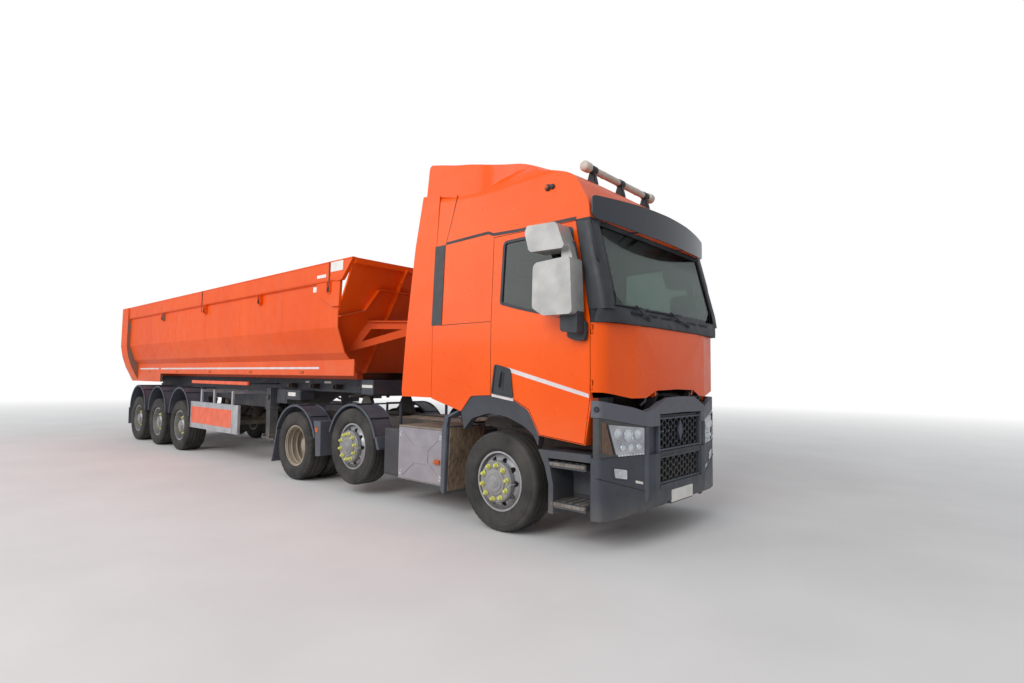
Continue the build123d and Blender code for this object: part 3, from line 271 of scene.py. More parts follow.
def cab_trim(look):
    """Black trim, with the smoked visor over the windscreen."""
    s = Surface(look)
    visor = s.both(s.above(s.axis("X"), FRONT_AXLE_X + 0.95), s.above(s.axis("Z"), 2.9))
    tone = s.mottled(linear(52, 56, 64), linear(45, 48, 56))
    tone = s.dusty(s.mix(s.ramp(s.axis("Z"), 1.9, 2.0), tone, linear(32, 34, 39)), 1.3, 0.5, 0.12, 2.0)
    s.set(Base_Color=s.mix(visor, tone, linear(44, 48, 55)))
    gloss = s.either(s.uneven(3.0, 3.0, 0.1, 0.18), s.math("SUBTRACT", 1.0, visor))
    s.set(Roughness=s.math("MINIMUM", s.uneven(12.0, 5.0, 0.44, 0.6), gloss))
    s.set(Coat_Weight=0.2, Coat_Roughness=0.1)


def light_bar(look):
    """Beige tube on black feet."""
    s = Surface(look)
    tube = s.mottled(linear(205, 196, 184), linear(190, 180, 168))
    s.set(Base_Color=s.mix(s.below(s.axis("Z"), 3.706), tube, linear(38, 40, 45)))
    s.set(Roughness=s.uneven(9.0, 5.0, 0.35, 0.5))


def tyre_rubber(look, name):
    """Worn rubber with pale, dusty patches."""
    s = Surface(look, name)
    tone = s.mottled(linear(36, 36, 36), linear(54, 52, 50), 8.0, 8.0)
    s.set(Base_Color=s.mix(s.ramp(s.noise(2.5, 6.0), 0.42, 0.68, 0.0, 0.35), tone, linear(100, 95, 88)))
    s.set(Roughness=s.uneven(20.0, 5.0, 0.74, 0.92))
    s.bump(s.noise(90.0, 4.0), 0.25, 0.0015)


def brush_brown(look):
    """Bristly matting with caked mud."""
    s = Surface(look)
    tone = s.mottled(linear(150, 128, 104), linear(98, 82, 66), 30.0, 6.0, stretch=(1, 1, 0.4))
    s.set(Base_Color=s.mix(s.ramp(s.noise(4.0, 5.0), 0.4, 0.7, 0.0, 0.6), tone, linear(168, 148, 124)))
    s.set(Roughness=s.uneven(20.0, 4.0, 0.85, 1.0))
    s.bump(s.noise(70.0, 6.0, (1, 1, 0.35)), 0.9, 0.012)


def lens(look, colour, deep, see=0.35):
    """Moulded plastic lens with fine ribs in it."""
    s = Surface(look)
    s.set(Base_Color=s.mottled(linear(*colour), linear(*deep), 45.0, 2.0, 0.3, (1, 1, 6.0)))
    s.set(Roughness=s.uneven(30.0, 2.0, 0.08, 0.16), Transmission_Weight=see, IOR=1.48)
    s.bump(s.noise(160.0, 1.0, (1, 1, 4.0)), 0.2, 0.001)


paint("orange_paint")
plain("chassis_grey", (52, 52, 56), (70, 66, 62), 0.6, dust=0.6)
plain("trailer_blue", (46, 54, 66), (62, 66, 72), 0.55, dust=0.45)
plain("axle_dark", (48, 46, 44), (70, 64, 58), 0.75, dust=0.6)
plain("engine_iron", (70, 70, 72), (52, 52, 54), 0.6, 0.4)
plain("dark_plastic", (74, 80, 92), (64, 69, 80), 0.55, dust=0.15, top=1.2)
plain("locker_grey", (150, 144, 152), (138, 132, 140), 0.62, dust=0.2, top=1.0)
window_glass("window_glass")
plain("cab_cloth", (44, 44, 48), (60, 58, 60), 0.85, grain=200.0)
plain("bar_beige", (205, 196, 184), (190, 180, 168), 0.4, dust=0.1)
plain("mirror_silver", (176, 174, 170), (160, 159, 157), 0.36, 0.45, dust=0.1)
plain("guard_alloy", (196, 198, 202), (176, 178, 184), 0.4, 0.6, dust=0.2)
plain("ram_steel", (150, 152, 156), (130, 132, 138), 0.35, 0.6, dust=0.1)
plain("rim_silver", (176, 178, 182), (150, 150, 152), 0.38, 0.55, dust=0.25, top=1.0)
plain("rim_dusty", (168, 158, 142), (140, 128, 112), 0.7, 0.1, dust=0.5, top=1.1)
cab_paint("cab_shell", "cab_shell_paint", True)
cab_paint("door_paint", "door_paint", False)
body_paint("body_orange")
bumper_plastic("bumper_plastic")
screen_glass("screen_glass")
tyre_rubber("tyre_rubber", "worn_tyre_rubber")
brush_brown("brush_brown")
plain("grille_black", (40, 44, 50), (32, 35, 41), 0.5, dust=0.25, top=0.9)
plain("trim_black", (40, 42, 48), (50, 52, 58), 0.5, grain=300.0, depth=0.08, dust=0.12)
cab_trim("cab_trim")
light_bar("light_bar")
plain("seam_black", (24, 18, 16), (36, 26, 22), 0.7, dust=0.0)
plain("stripe_white", (226, 220, 220), (208, 200, 200), 0.45, dust=0.25, top=1.9)
plain("plate_white", (232, 230, 224), (218, 214, 208), 0.4, dust=0.2)
plain("indicator_yellow", (216, 216, 108), (192, 190, 92), 0.45, dust=0.15)
plain("nut_steel", (160, 158, 154), (120, 112, 100), 0.45, 0.7, dust=0.2)
plain("hub_grey", (150, 150, 152), (130, 130, 132), 0.5, 0.2, dust=0.15)
for lamp_look in ("lamp_glass", "lamp_dark"):
    plain(lamp_look, (48, 50, 54), (66, 64, 62), 0.16, 0.2, 30.0, 0.03, dust=0.0, coat=0.8)
lens("amber_lens", (236, 120, 34), (200, 84, 20))
lens("red_lens", (176, 28, 24), (130, 16, 16))
plain("mirror_face", (214, 220, 224), (200, 206, 210), 0.08, 0.95, 3.0, 0.01, dust=0.0)
lens("lamp_brown", (132, 104, 84), (84, 64, 52), 0.1)
plain("lamp_chrome", (206, 208, 212), (168, 170, 176), 0.14, 0.8, 26.0, 0.25, dust=0.0, coat=0.8)
plain("lamp_clear", (226, 230, 234), (178, 184, 190), 0.08, 0.25, 60.0, 0.1, dust=0.0, coat=1.0)
plain("worn_metal", (148, 144, 140), (96, 90, 84), 0.5, 0.5, 90.0, 0.3)
plain("dusty_metal", (150, 138, 122), (118, 108, 98), 0.75, 0.2, 60.0, 0.3, dust=0.5)
plain("tank_black", (42, 42, 44), (60, 57, 54), 0.5, dust=0.5, top=1.3)
plain("guard_red", (238, 104, 66), (222, 86, 52), 0.45, dust=0.2)
plain("strap_dark", (70, 50, 44), (92, 62, 50), 0.85, grain=260.0, depth=0.3, dust=0.1)
NODE_LOOKS = {
    "cab_shell": "cab_shell", "cab_fairings": "orange_paint", "door_left": "door_paint",
    "door_right": "door_paint", "tipper_body": "body_orange", "tailgate": "body_orange",
    "bumper": "bumper_plastic", "grille": "grille_black", "windscreen": "screen_glass",
    "cab_trim": "cab_trim", "light_bar": "light_bar", "tanks": "trim_black",
}
slots = {part["node"]: part["material_slot"] for part in frame["record"]["subparts"]}
for name, obj in frame["nodes"].items():
    obj.data.materials.clear()
    obj.data.materials.append(looks[NODE_LOOKS.get(name, slots[name])])
    for face in obj.data.polygons:
        face.material_index = 0

# Camera, solved from the photograph
FOCAL_PIXELS = 571.542329
PICTURE_WIDTH = 1024
eye = Vector((9.7659, -5.53460, 1.54484))
yaw, pitch, roll = 2.29410920, 0.0635496360, 0.0125402624
forward = Vector((math.cos(yaw) * math.cos(pitch), math.sin(yaw) * math.cos(pitch), math.sin(pitch)))
level = forward.cross(Vector((0, 0, 1))).normalized()
rise = level.cross(forward)
right = level * math.cos(roll) + rise * math.sin(roll)
up = rise * math.cos(roll) - level * math.sin(roll)
camera_data = bpy.data.cameras.new("camera")
camera_data.sensor_width = 36.0
camera_data.lens = FOCAL_PIXELS * camera_data.sensor_width / PICTURE_WIDTH
camera_data.clip_end = 500
camera = bpy.data.objects.new("camera", camera_data)
scene.collection.objects.link(camera)
camera.matrix_world = Matrix((*((right[i], up[i], -forward[i], eye[i]) for i in range(3)), (0, 0, 0, 1)))
scene.camera = camera
scene.view_settings.view_transform = "Standard"

# Studio: a floor that fades to white far away, a pale world and two soft lamps
floor_mesh = bpy.data.meshes.new("floor")
floor_mesh.from_pydata([(-90, -90, 0), (90, -90, 0), (90, 90, 0), (-90, 90, 0)], [], [(0, 1, 2, 3)])
floor = bpy.data.objects.new("floor", floor_mesh)
scene.collection.objects.link(floor)
ground = Surface("floor_look")
concrete = ground.mottled((0.66, 0.65, 0.64, 1), (0.72, 0.71, 0.70, 1), 0.7, 6.0, 0.3)
ground.set(Base_Color=concrete, Roughness=0.9)
away = ground.node("ShaderNodeVectorMath", {0: ground.place}, operation="LENGTH").outputs["Value"]
ray = ground.node("ShaderNodeLightPath").outputs["Is Camera Ray"]
white = ground.node("ShaderNodeEmission").outputs[0]
faded = {0: ground.both(ground.ramp(away, 9.0, 30.0), ray), 1: ground.shader.outputs[0], 2: white}
feed(ground.tree, ground.out.inputs[0], ground.node("ShaderNodeMixShader", faded).outputs[0])
floor_mesh.materials.append(ground.material)

world = bpy.data.worlds.new("studio")
world.use_nodes = True
scene.world = world
tree = world.node_tree
tree.nodes.clear()
paths = add_node(tree, "ShaderNodeLightPath").outputs
rays = {0: paths["Is Camera Ray"], 1: paths["Is Transmission Ray"]}
seen = add_node(tree, "ShaderNodeMath", rays, operation="MAXIMUM").outputs[0]
lit = add_node(tree, "ShaderNodeBackground", {"Color": (0.93, 0.96, 1.0, 1), "Strength": 0.62}).outputs[0]
backdrop = add_node(tree, "ShaderNodeBackground", {"Color": (1, 1, 1, 1), "Strength": 1.0}).outputs[0]
choose = add_node(tree, "ShaderNodeMixShader", {0: seen, 1: lit, 2: backdrop}).outputs[0]
add_node(tree, "ShaderNodeOutputWorld", {0: choose})

for name, place, aim, size, power in (
    ("key", (7, -19, 13), (2, 0, 1.5), 12, 2300), ("fill", (-12, -18, 10), (-4, 0, 1.5), 14, 1200),
):
    data = bpy.data.lights.new(name, "AREA")
    data.shape, data.size, data.energy = "SQUARE", size, power
    obj = bpy.data.objects.new(name, data)
    scene.collection.objects.link(obj)
    obj.location = place
    obj.rotation_euler = (Vector(aim) - Vector(place)).to_track_quat("-Z", "Y").to_euler()

# Forms
BODY_OF = {node: body for body, nodes in frame["record"]["behaviour"]["bodies"].items() for node in nodes}
AHEAD, ACROSS, UPWARD = (1, 0, 0), (0, 1, 0), (0, 0, 1)
HALF_WIDTH = ((0.9, 1.235), (1.4, 1.25), (2.085, 1.25), (3.0, 1.215), (3.79, 1.16))
HALF_PIPE = ((1.6, 0.64), (1.69, 0.93), (1.87, 1.085), (2.22, 1.205), (3.15, 1.205))
ROOF_FALL = (
    (-1.3, 0.0), (-0.76, 0.08), (-0.36, 0.11), (-0.09, 0.11), (0.1, 0.09), (0.5, 0.075), (0.8, 0.035),
    (1.0, 0.0),
)
SAME_PLACE = 1e-5


def between(table, place):
    """A value read from a table of (place, value), level beyond its ends."""
    place = max(place, table[0][0])
    for (start, first), (end, last) in zip(table, table[1:]):
        if place <= end:
            return first + (last - first) * (place - start) / (end - start)
    return table[-1][1]


def side_y(z):
    """Half the cab's width at a height."""
    return between(HALF_WIDTH, z)


CORNER_STEPS = 5


def rounded(points):
    """An outline of (a, b) or (a, b, radius) with its corners rounded."""
    out = []
    for i, point in enumerate(points):
        corner = Vector(point[:2])
        if len(point) < 3:
            out.append(tuple(corner))
            continue
        before, after = (Vector(points[j % len(points)][:2]) - corner for j in (i - 1, i + 1))
        reach = min(point[2], before.length * 0.49, after.length * 0.49)
        start, end = corner + before.normalized() * reach, corner + after.normalized() * reach
        for t in [step / CORNER_STEPS for step in range(CORNER_STEPS + 1)]:
            out.append(tuple(start * (1 - t) ** 2 + corner * 2 * t * (1 - t) + end * t**2))
    return out


def rect(a0, a1, b0, b1, radius=None):
    """A rectangle's corners from a0 to a1 and b0 to b1, with a radius where one is given."""
    corners = [(a0, b0), (a1, b0), (a1, b1), (a0, b1)]
    return [(*corner, radius) for corner in corners] if radius else corners


def circle(centre, across, other, radius, sides):
    turn = [2 * math.pi * k / sides for k in range(sides)]
    return [centre + (across * math.cos(a) + other * math.sin(a)) * radius for a in turn]


def ring_of(count, radius, first=0.0):
    """Places round a wheel's middle."""
    turn = [first + 2 * math.pi * k / count for k in range(count)]
    return [(radius * math.cos(a), radius * math.sin(a)) for a in turn]


class Face:
    """A slanted upright face; places along it are counted from first to last."""

    def __init__(self, start, end, first, last):
        self.start, self.end = Vector((*start, 0)), Vector((*end, 0))
        self.first, self.last = first, last
        run = (self.end - self.start).normalized()
        self.normal = Vector((-run.y, run.x, 0))

    def point(self, place, z, out):
        point = self.start.lerp(self.end, (place - self.first) / (self.last - self.first)) + self.normal * out
        return point.x, point.y, z


class Piece:
    """A visible piece, gathered in one mesh; a right-hand one is given as its left twin and mirrored.

    Outlines are rounded where a point has a radius, and a star in the name stands for the side.
    """

    def __init__(self, side=""):
        self.mesh = bmesh.new()
        self.side = side
        self.sign = SIDES.get(side, 1)

    def at(self, point):
        return Vector((point[0], self.sign * point[1], point[2]))

    def skin(self, rings, caps=True):
        rows = [[self.mesh.verts.new(point) for point in ring] for ring in rings]
        count = len(rows[0])
        for first, second in zip(rows, rows[1:]):
            for i in range(count):
                j = (i + 1) % count
                self.mesh.faces.new((first[i], first[j], second[j], second[i]))
        if caps:
            self.mesh.faces.new(rows[0][::-1])
            self.mesh.faces.new(rows[-1])
        return self

    def loft(self, rings, caps=True):
        return self.skin([[self.at(point) for point in ring] for ring in rings], caps)

    def slab(self, points, axis, low, high):
        """An outline in the two other axes, made solid along an axis."""
        index = "XYZ".index(axis)
        outline = rounded(points)
        levels = sorted((low, high))
        return self.loft([[(*p[:index], level, *p[index:]) for p in outline] for level in levels])

    def block(self, x, y, z):
        return self.slab(rect(*sorted(x), *sorted(y)), "Z", *z)

    def tube(self, path, radius, sides=8, closed=False):
        path = [self.at(point) for point in path]
        rings = []
        across = None
        for i, point in enumerate(path):
            before = path[i - 1] if i or closed else point
            after = path[(i + 1) % len(path)] if i + 1 < len(path) or closed else point
            run = (after - before).normalized()
            if across is None:
                across = run.orthogonal().normalized()
            across = (across - run * across.dot(run)).normalized()
            rings.append(circle(point, across, run.cross(across), radius, sides))
        return self.skin(rings + rings[:1] if closed else rings, caps=not closed)

    def turned(self, centre, axis, profile, sides=24):
        """A profile of (distance along the axis, radius) turned about it."""
        centre, axis = self.at(centre), self.at(axis).normalized()
        across = axis.orthogonal().normalized()
        other = axis.cross(across)
        return self.skin([circle(centre + axis * reach, across, other, r, sides) for reach, r in profile])

    def on_side(self, points, lift=0.002, deep=0.004):
        """An outline of (x, z) laid on the cab's side, standing proud by lift."""
        outline = rounded(points)
        return self.loft([[(x, side_y(z) + level, z) for x, z in outline] for level in (lift - deep, lift)])

    def line_on_side(self, path, width, lift=0.002, deep=0.005, closed=False):
        """A band of one width along a path of (x, z) on the cab's side."""
        path = [Vector(point) for point in rounded(path)]
        rings = []
        for i, point in enumerate(path):
            before = path[i - 1] if i or closed else point
            after = path[(i + 1) % len(path)] if i + 1 < len(path) or closed else point
            run = (after - before).normalized()
            normal = Vector((-run.y, run.x)) * width / 2
            ring = []
            for edge, proud in ((1, lift), (-1, lift), (-1, lift - deep), (1, lift - deep)):
                x, z = point + normal * edge
                ring.append((x, side_y(z) + proud, z))
            rings.append(ring)
        return self.loft(rings + rings[:1] if closed else rings, caps=not closed)

    def on_face(self, face, points, out, deep):
        """An outline of (place, z) standing on a slanted face."""
        outline = rounded(points)
        return self.loft([[face.point(*point, level) for point in outline] for level in (out - deep, out)])

    def done(self, name, body, look, bevel=0.0, smooth=35, replaced=()):
        bmesh.ops.translate(self.mesh, vec=(FRONT_AXLE_X, 0, 0), verts=self.mesh.verts)
        bmesh.ops.remove_doubles(self.mesh, verts=self.mesh.verts, dist=SAME_PLACE)
        bmesh.ops.recalc_face_normals(self.mesh, faces=self.mesh.faces)
        name = name.replace("*", self.side)
        data = bpy.data.meshes.new(name)
        self.mesh.to_mesh(data)
        self.mesh.free()
        for face in data.polygons:
            face.use_smooth = True
        data.set_sharp_from_angle(angle=math.radians(smooth))
        obj = bpy.data.objects.new(name, data)
        scene.collection.objects.link(obj)
        data.materials.append(looks[look])
        if bevel:
            cut = obj.modifiers.new("edges", "BEVEL")
            cut.width = bevel
            cut.segments = 2
            cut.limit_method = "ANGLE"
            cut.angle_limit = math.radians(40)
        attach(obj, body)
        if replaced:
            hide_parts(*replaced)
        return obj


# Tyres: ribs and shoulder blocks on the crown, rings on the sidewalls
def tyre_profile(width, grooves):
    half = width / 2
    bead = 0.118 + half - 0.156
    wall = [
        (bead, 0.2925), (bead, 0.3), (bead + 0.008, 0.302), (half * 0.975, 0.33), (half * 0.995, 0.352),
        (half - 0.001, 0.356), (half, 0.36), (half, 0.405), (half - 0.0015, 0.4065), (half - 0.002, 0.43),
        (half - 0.0005, 0.4315), (half - 0.0015, 0.437), (half - 0.005, 0.439), (half - 0.009, 0.46),
        (half - 0.006, 0.4625), (half - 0.008, 0.478), (half - 0.018, 0.4905), (half - 0.03, 0.4965),
        (half - 0.045, TYRE_RADIUS - 0.0008),
    ]
    crown = []
    for place in grooves:
        crown += [(place + 0.007, TYRE_RADIUS), (place + 0.0045, 0.486), (place - 0.0045, 0.486)]
        crown += [(place - 0.007, TYRE_RADIUS)]
    return wall + crown + [(-t, r) for t, r in reversed(wall)]


def add_tyre(piece, x, y, z, width, grooves, step, deep):
    """A tyre turned about its wheel's line, with slots cut across its shoulders."""
    profile = tyre_profile(width, grooves)
    rings = []
    for k, (c, s) in enumerate(ring_of(144, 1.0)):
        ring = []
        for offset, radius in profile:
            if k % step == 0 and abs(offset) > width / 2 - 0.05 and radius > 0.475:
                radius -= deep
            ring.append((x + radius * c, y + offset, z + radius * s))
        rings.append(ring)
    piece.loft(rings + rings[:1], caps=False)


STEER_TYRE = (0.312, (0.095, 0.034, -0.034, -0.095), 3)
TRAILER_TYRE = (0.38, (0.12, 0.06, 0.0, -0.06, -0.12), 4, 0.006)
wheels = [
    ("front", 0.0, TYRE_RADIUS, SINGLE_TRACK, *STEER_TYRE, 0.004),
    ("pusher", PUSHER_X, TYRE_RADIUS + PUSHER_LIFT, SINGLE_TRACK, *STEER_TYRE, 0.005),
]
for number, x in enumerate(BOGIE_X, 1):
    wheels.append((f"trailer_{number}", x, TYRE_RADIUS, TRAILER_TRACK, *TRAILER_TYRE))
for wheel, x, z, track, *sizes in wheels:
    for side in SIDES:
        tyre = Piece(side)
        add_tyre(tyre, x, track, z, *sizes)
        node = f"tyre_{wheel}_{side}"
        tyre.done(f"tread_{wheel}_{side}", BODY_OF[node], "tyre_rubber", replaced=(node,))
for side in SIDES:
    tyre = Piece(side)
    for track in (SINGLE_TRACK, SINGLE_TRACK - 0.345):
        add_tyre(tyre, DRIVE_X, track, TYRE_RADIUS, 0.312, (0.08, 0.0, -0.08), 4, 0.012)
    node = f"tyres_drive_{side}"
    tyre.done(f"tread_drive_{side}", BODY_OF[node], "tyre_rubber", replaced=(node,))


# Wheel nuts, their yellow indicators, hub caps and valves
INDICATOR = [(0.003, 0.025), (0.01, 0.025), (0.014, 0.0195), (0.037, 0.018), (0.045, 0.011)]
FLANGE = [(-0.055, 0.209), (-0.012, 0.207), (0.0, 0.196), (0.0, 0.132), (0.012, 0.128), (0.014, 0.12)]
CAP_RIM = [(-0.002, 0.1), (0.006, 0.098), (0.009, 0.092), (0.009, 0.086), (0.005, 0.082)]
CAP_MIDDLE = [(0.0, 0.06), (0.008, 0.058), (0.012, 0.052), (0.012, 0.03), (0.016, 0.026)]


def wheel_dressing(name, side, body, x, z, face, cap, indicator, proud):
    nut_look, cap_look = ("nut_steel", "hub_grey") if indicator else ("rim_dusty", "rim_dusty")
    bolts = [(x + dx, face, z + dz) for dx, dz in ring_of(10, 0.1675, 0.2)]
    nuts = Piece(side)
    for place in bolts:
        nuts.turned(place, ACROSS, [(-0.004, 0.024), (0.004, 0.024), (0.006, 0.02)], 16)
        nuts.turned(place, ACROSS, [(0.004, 0.0185), (0.03, 0.0185), (0.034, 0.014)], 6)
        nuts.turned(place, ACROSS, [(0.03, 0.011), (0.042, 0.011), (0.044, 0.008)], 12)
    nuts.done(f"nuts_{name}", body, nut_look, smooth=30)
    if indicator:
        caps = Piece(side)
        for k, place in enumerate(bolts):
            caps.turned(place, ACROSS, INDICATOR, 16)
            aim = math.atan2(place[2] - z, place[0] - x) + (1.57 if k % 2 else -1.57)
            out = Vector((math.cos(aim), 0, math.sin(aim)))
            wide = Vector((-out.z, 0, out.x)) * 0.014
            near, tip = Vector(place) + out * 0.018, Vector(place) + out * 0.04
            levels = [Vector((0, rise, 0)) for rise in (0.006, 0.012)]
            caps.loft([[near + wide + rise, near - wide + rise, tip + rise] for rise in levels])
        caps.done(f"indicators_{name}", body, "indicator_yellow", smooth=40)
    hub = Piece(side)
    if proud:
        hub.turned((x, face, z), ACROSS, FLANGE, 48)
    hub.turned((x, cap, z), ACROSS, CAP_RIM, 40).turned((x, cap, z), ACROSS, CAP_MIDDLE, 32)
    for dx, dz in ring_of(8, 0.108, 0.1):
        hub.turned((x + dx, cap - 0.03, z + dz), ACROSS, [(0, 0.007), (0.012, 0.007), (0.014, 0.005)], 6)
    hub.done(f"hub_cap_{name}", body, cap_look)
    valve = [(x + 0.24, face - 0.03, z), (x + 0.225, face + 0.01, z), (x + 0.205, face + 0.03, z)]
    Piece(side).tube(valve, 0.005).done(f"valve_{name}", body, "guard_alloy")


for wheel, x, z, track, *rest in wheels:
    for side in SIDES:
        steered = wheel in ("front", "pusher")
        face, cap = (0.19, 0.204) if steered else (0.07, 0.15)
        body = BODY_OF[f"tyre_{wheel}_{side}"]
        wheel_dressing(f"{wheel}_{side}", side, body, x, z, track + face, track + cap, True, steered)
for side in SIDES:
    body = BODY_OF[f"tyres_drive_{side}"]
    well = Piece(side)
    for y, radius, thick in ((1.19, 0.279, 0.008), (1.12, 0.274, 0.012), (1.04, 0.27, 0.016)):
        well.tube([(DRIVE_X + dx, y, TYRE_RADIUS + dz) for dx, dz in ring_of(64, radius)], thick, closed=True)
    well.done(f"drive_rim_well_{side}", body, "rim_dusty", smooth=50)
    middle = SINGLE_TRACK - 0.1725
    reach = middle + 0.016, middle + 0.15
    wheel_dressing(f"drive_{side}", side, body, DRIVE_X, TYRE_RADIUS, *reach, False, False)


# The roof's crown: the cab's shell and its fairings with the roof's edges falling away to the sides
def crowned(node, look):
    piece = Piece()
    mesh = piece.mesh
    source = frame["nodes"][node]
    mesh.from_mesh(source.data)
    mesh.transform(Matrix.Translation((-FRONT_AXLE_X, 0, 0)) @ source.matrix_world)
    bmesh.ops.remove_doubles(mesh, verts=mesh.verts, dist=SAME_PLACE)
    cuts = [((0, 0.1 * k, 0), ACROSS) for k in range(-11, 12)]
    cuts += [((0.1 * k, 0, 0), AHEAD) for k in range(-12, 11)]
    for place, normal in cuts:
        faces = [face for face in mesh.faces if min(vert.co.z for vert in face.verts) > ROOF_Z - 0.1]
        edges = {edge for face in faces for edge in face.edges}
        verts = {vert for face in faces for vert in face.verts}
        bmesh.ops.bisect_plane(mesh, geom=[*verts, *edges, *faces], plane_co=place, plane_no=normal)
    for vert in mesh.verts:
        x, y, z = vert.co
        high = min(max((z - ROOF_Z) / 0.3, 0.0), 1.0)
        vert.co.z = z - between(ROOF_FALL, x) * high * min(abs(y) / ROOF_HALF, 1.0) ** 4
    obj = piece.done(f"{node}_crowned", BODY_OF[node], look, smooth=14, replaced=(node,))


crowned("cab_shell", "cab_shell")
crowned("cab_fairings", "orange_paint")

# Cab: belt trim, seams, window frames, door fittings, roof markers, pillars and mirrors
WINDOW = [
    (0.034, 2.941, 0.045), (0.018, 2.307, 0.025), (0.3, 2.23, 0.6), (0.864, 2.106, 0.1), (0.96, 2.12, 0.03),
    (0.887, 2.958, 0.045),
]


def screen_x(z):
    """The windscreen's place at a height."""
    return 1.290 - (z - SCREEN_FOOT_Z) * SCREEN_LEAN


def door_handle(side):
    handle = Piece(side)
    outline = [(-0.04, 1.675, 0.02), (-0.082, 1.39, 0.01), (0.203, 1.352, 0.01), (0.165, 1.63, 0.03)]
    outline.append((0.05, 1.655, 0.05))
    handle.on_side(outline, 0.004, 0.008).line_on_side(outline, 0.016, 0.012, 0.01, closed=True)
    outline = [(0.0, 1.62, 0.02), (-0.02, 1.42, 0.02), (0.07, 1.41, 0.02), (0.085, 1.61, 0.03)]
    handle.on_side(outline, 0.007, 0.005)
    near, far = side_y(1.6) + 0.006, side_y(1.6) + 0.022
    handle.tube([(0.05, near, 1.61), (0.045, far, 1.585), (0.03, far, 1.47), (0.025, near, 1.445)], 0.01)
    handle.done("door_handle_*", BODY_OF[f"door_{side}"], "trim_black", 0.001)


PILLAR_EDGE = (
    (-0.075, 0), (-0.035, 0.012), (-0.01, 0.04), (0, 0.085), (0.001, 0.135), (-0.012, 0.138), (-0.012, 0.09),
    (-0.045, 0.03),
)


def screen_pillar(side):
    """The black pillar that wraps round the windscreen's corner."""
    rings = []
    for z in (2.17, 2.3, 2.5, 2.7, 2.9, 3.0):
        lift = 0.014 if z > 2.2 else 0.004
        front, wide = screen_x(z) + lift, side_y(z) + lift - 0.002
        back = 1.116 - max(z - BELT_Z, 0) * PILLAR_LEAN
        ring = [(back, wide, z), *((front + ahead, wide - inward, z) for ahead, inward in PILLAR_EDGE)]
        rings.append([*ring, (back, wide - 0.012, z)])
    Piece(side).loft(rings).done("windscreen_pillar_*", "cab", "trim_black", 0.002, 50)


def mirror_fittings(side):
    body = BODY_OF[f"mirror_{side}"]
    faces = Piece(side)
    faces.block((0.628, 0.634), (1.325, 1.47), (2.23, 2.57))
    faces.block((0.556, 0.562), (1.33, 1.465), (2.75, 2.93))
    faces.done("mirror_glass_*", body, "mirror_face", 0.002)
    foot = Piece(side)
    outline = [(0.9, 2.21, 0.02), (0.895, 1.92, 0.03), (1.0, 1.885, 0.03), (1.085, 1.885, 0.02)]
    outline += [(1.1, 1.95, 0.02), (1.1, 2.05, 0.03), (1.04, 2.09, 0.05), (1.02, 2.21, 0.02)]
    foot.slab(outline, "Y", side_y(2.05) + 0.004, 1.306)
    foot.slab([(0.893, 2.2), (0.893, 1.97, 0.03), (1.086, 1.94, 0.03), (1.078, 2.2)], "Y", 1.296, 1.41)
    upper = [(0.88, 2.8, 0.02), (0.9, 2.55, 0.02), (1.045, 2.55, 0.03), (0.985, 2.8, 0.02)]
    foot.slab(upper, "Y", 1.296, 1.325).done("mirror_foot_*", body, "trim_black", 0.006)


for side in SIDES:
    door = BODY_OF[f"door_{side}"]
    belt = [(-0.87, 3.064), (-0.206, 3.084), (-0.13, 3.052), (0.2, 3.041), (0.886, 3.04), (0.93, 3.04)]
    Piece(side).line_on_side(belt, 0.032).done("belt_trim_*", "cab", "trim_black", 0.001)
    seam = Piece(side).line_on_side([(-0.895, 2.127), (-0.122, 2.127)], 0.006, 0.0012)
    seam.line_on_side([(-0.875, 3.05), (-0.80, 3.34), (-0.737, 3.61)], 0.005, 0.0012)
    seam.done("cab_seams_*", "cab", "seam_black")
    window = Piece(side).line_on_side(WINDOW, 0.03, 0.004, 0.016, closed=True)
    window.done("window_frame_*", door, "trim_black", 0.0015)
    door_handle(side)
    patch = Piece(side).on_side([(-0.082, 1.39), (-0.088, 1.352), (0.208, 1.312), (0.205, 1.35)])
    patch.on_side([(0.12, 1.652), (1.098, 1.411), (1.104, 1.374), (0.165, 1.598)], 0.0015)
    patch.done("door_stripe_*", door, "stripe_white")
    marker_y = side_y(3.4) - 0.012
    marker = Piece(side)
    for x, r in ((0.575, 0.034), (0.632, 0.026)):
        shape = [(0, r), (0.022, r), (0.034, r * 0.8), (0.039, r * 0.4)]
        marker.turned((x, marker_y, 3.41), (0, 1, 0.07), shape)
    marker.done("roof_marker_*", "cab", "trim_black", smooth=50)
    dome = [(0, 0.02), (0.012, 0.019), (0.018, 0.01)]
    marker = Piece(side).turned((0.575, marker_y + 0.032, 3.41), (0, 1, 0.07), dome, 20)
    marker.done("roof_marker_lens_*", "cab", "amber_lens", smooth=60)
    screen_pillar(side)
    mirror_fittings(side)

# Windscreen surround, scuttle, wipers
rubber = Piece()
for low, high in ((2.176, 2.206), (2.976, 3.02)):
    corners = [(0.004, low), (0.004, high), (-0.006, high), (-0.006, low)]
    rubber.loft([[(screen_x(z) + out, y, z) for out, z in corners] for y in (-1.12, -0.9, 0.9, 1.12)])
rubber.done("windscreen_rubber", "cab", "trim_black", 0.002)
rings = []
for y in (-1.247, -1.2, -1.1, -0.9, -0.5, 0, 0.5, 0.9, 1.1, 1.2, 1.247):
    back = 0.13 * max(0.0, (abs(y) - 1.09) / 0.16) ** 2.2
    low, high = 1.334 - back - 0.03 * (abs(y) / 1.2) ** 2, 1.292 - back * 0.6
    section = [(low, 2.052), (low + 0.003, 2.075), (high + 0.012, 2.165), (high, 2.185), (high - 0.03, 2.18)]
    rings.append([(x, y, z) for x, z in [*section, (low - 0.04, 2.055)]])
scuttle = Piece().loft(rings)
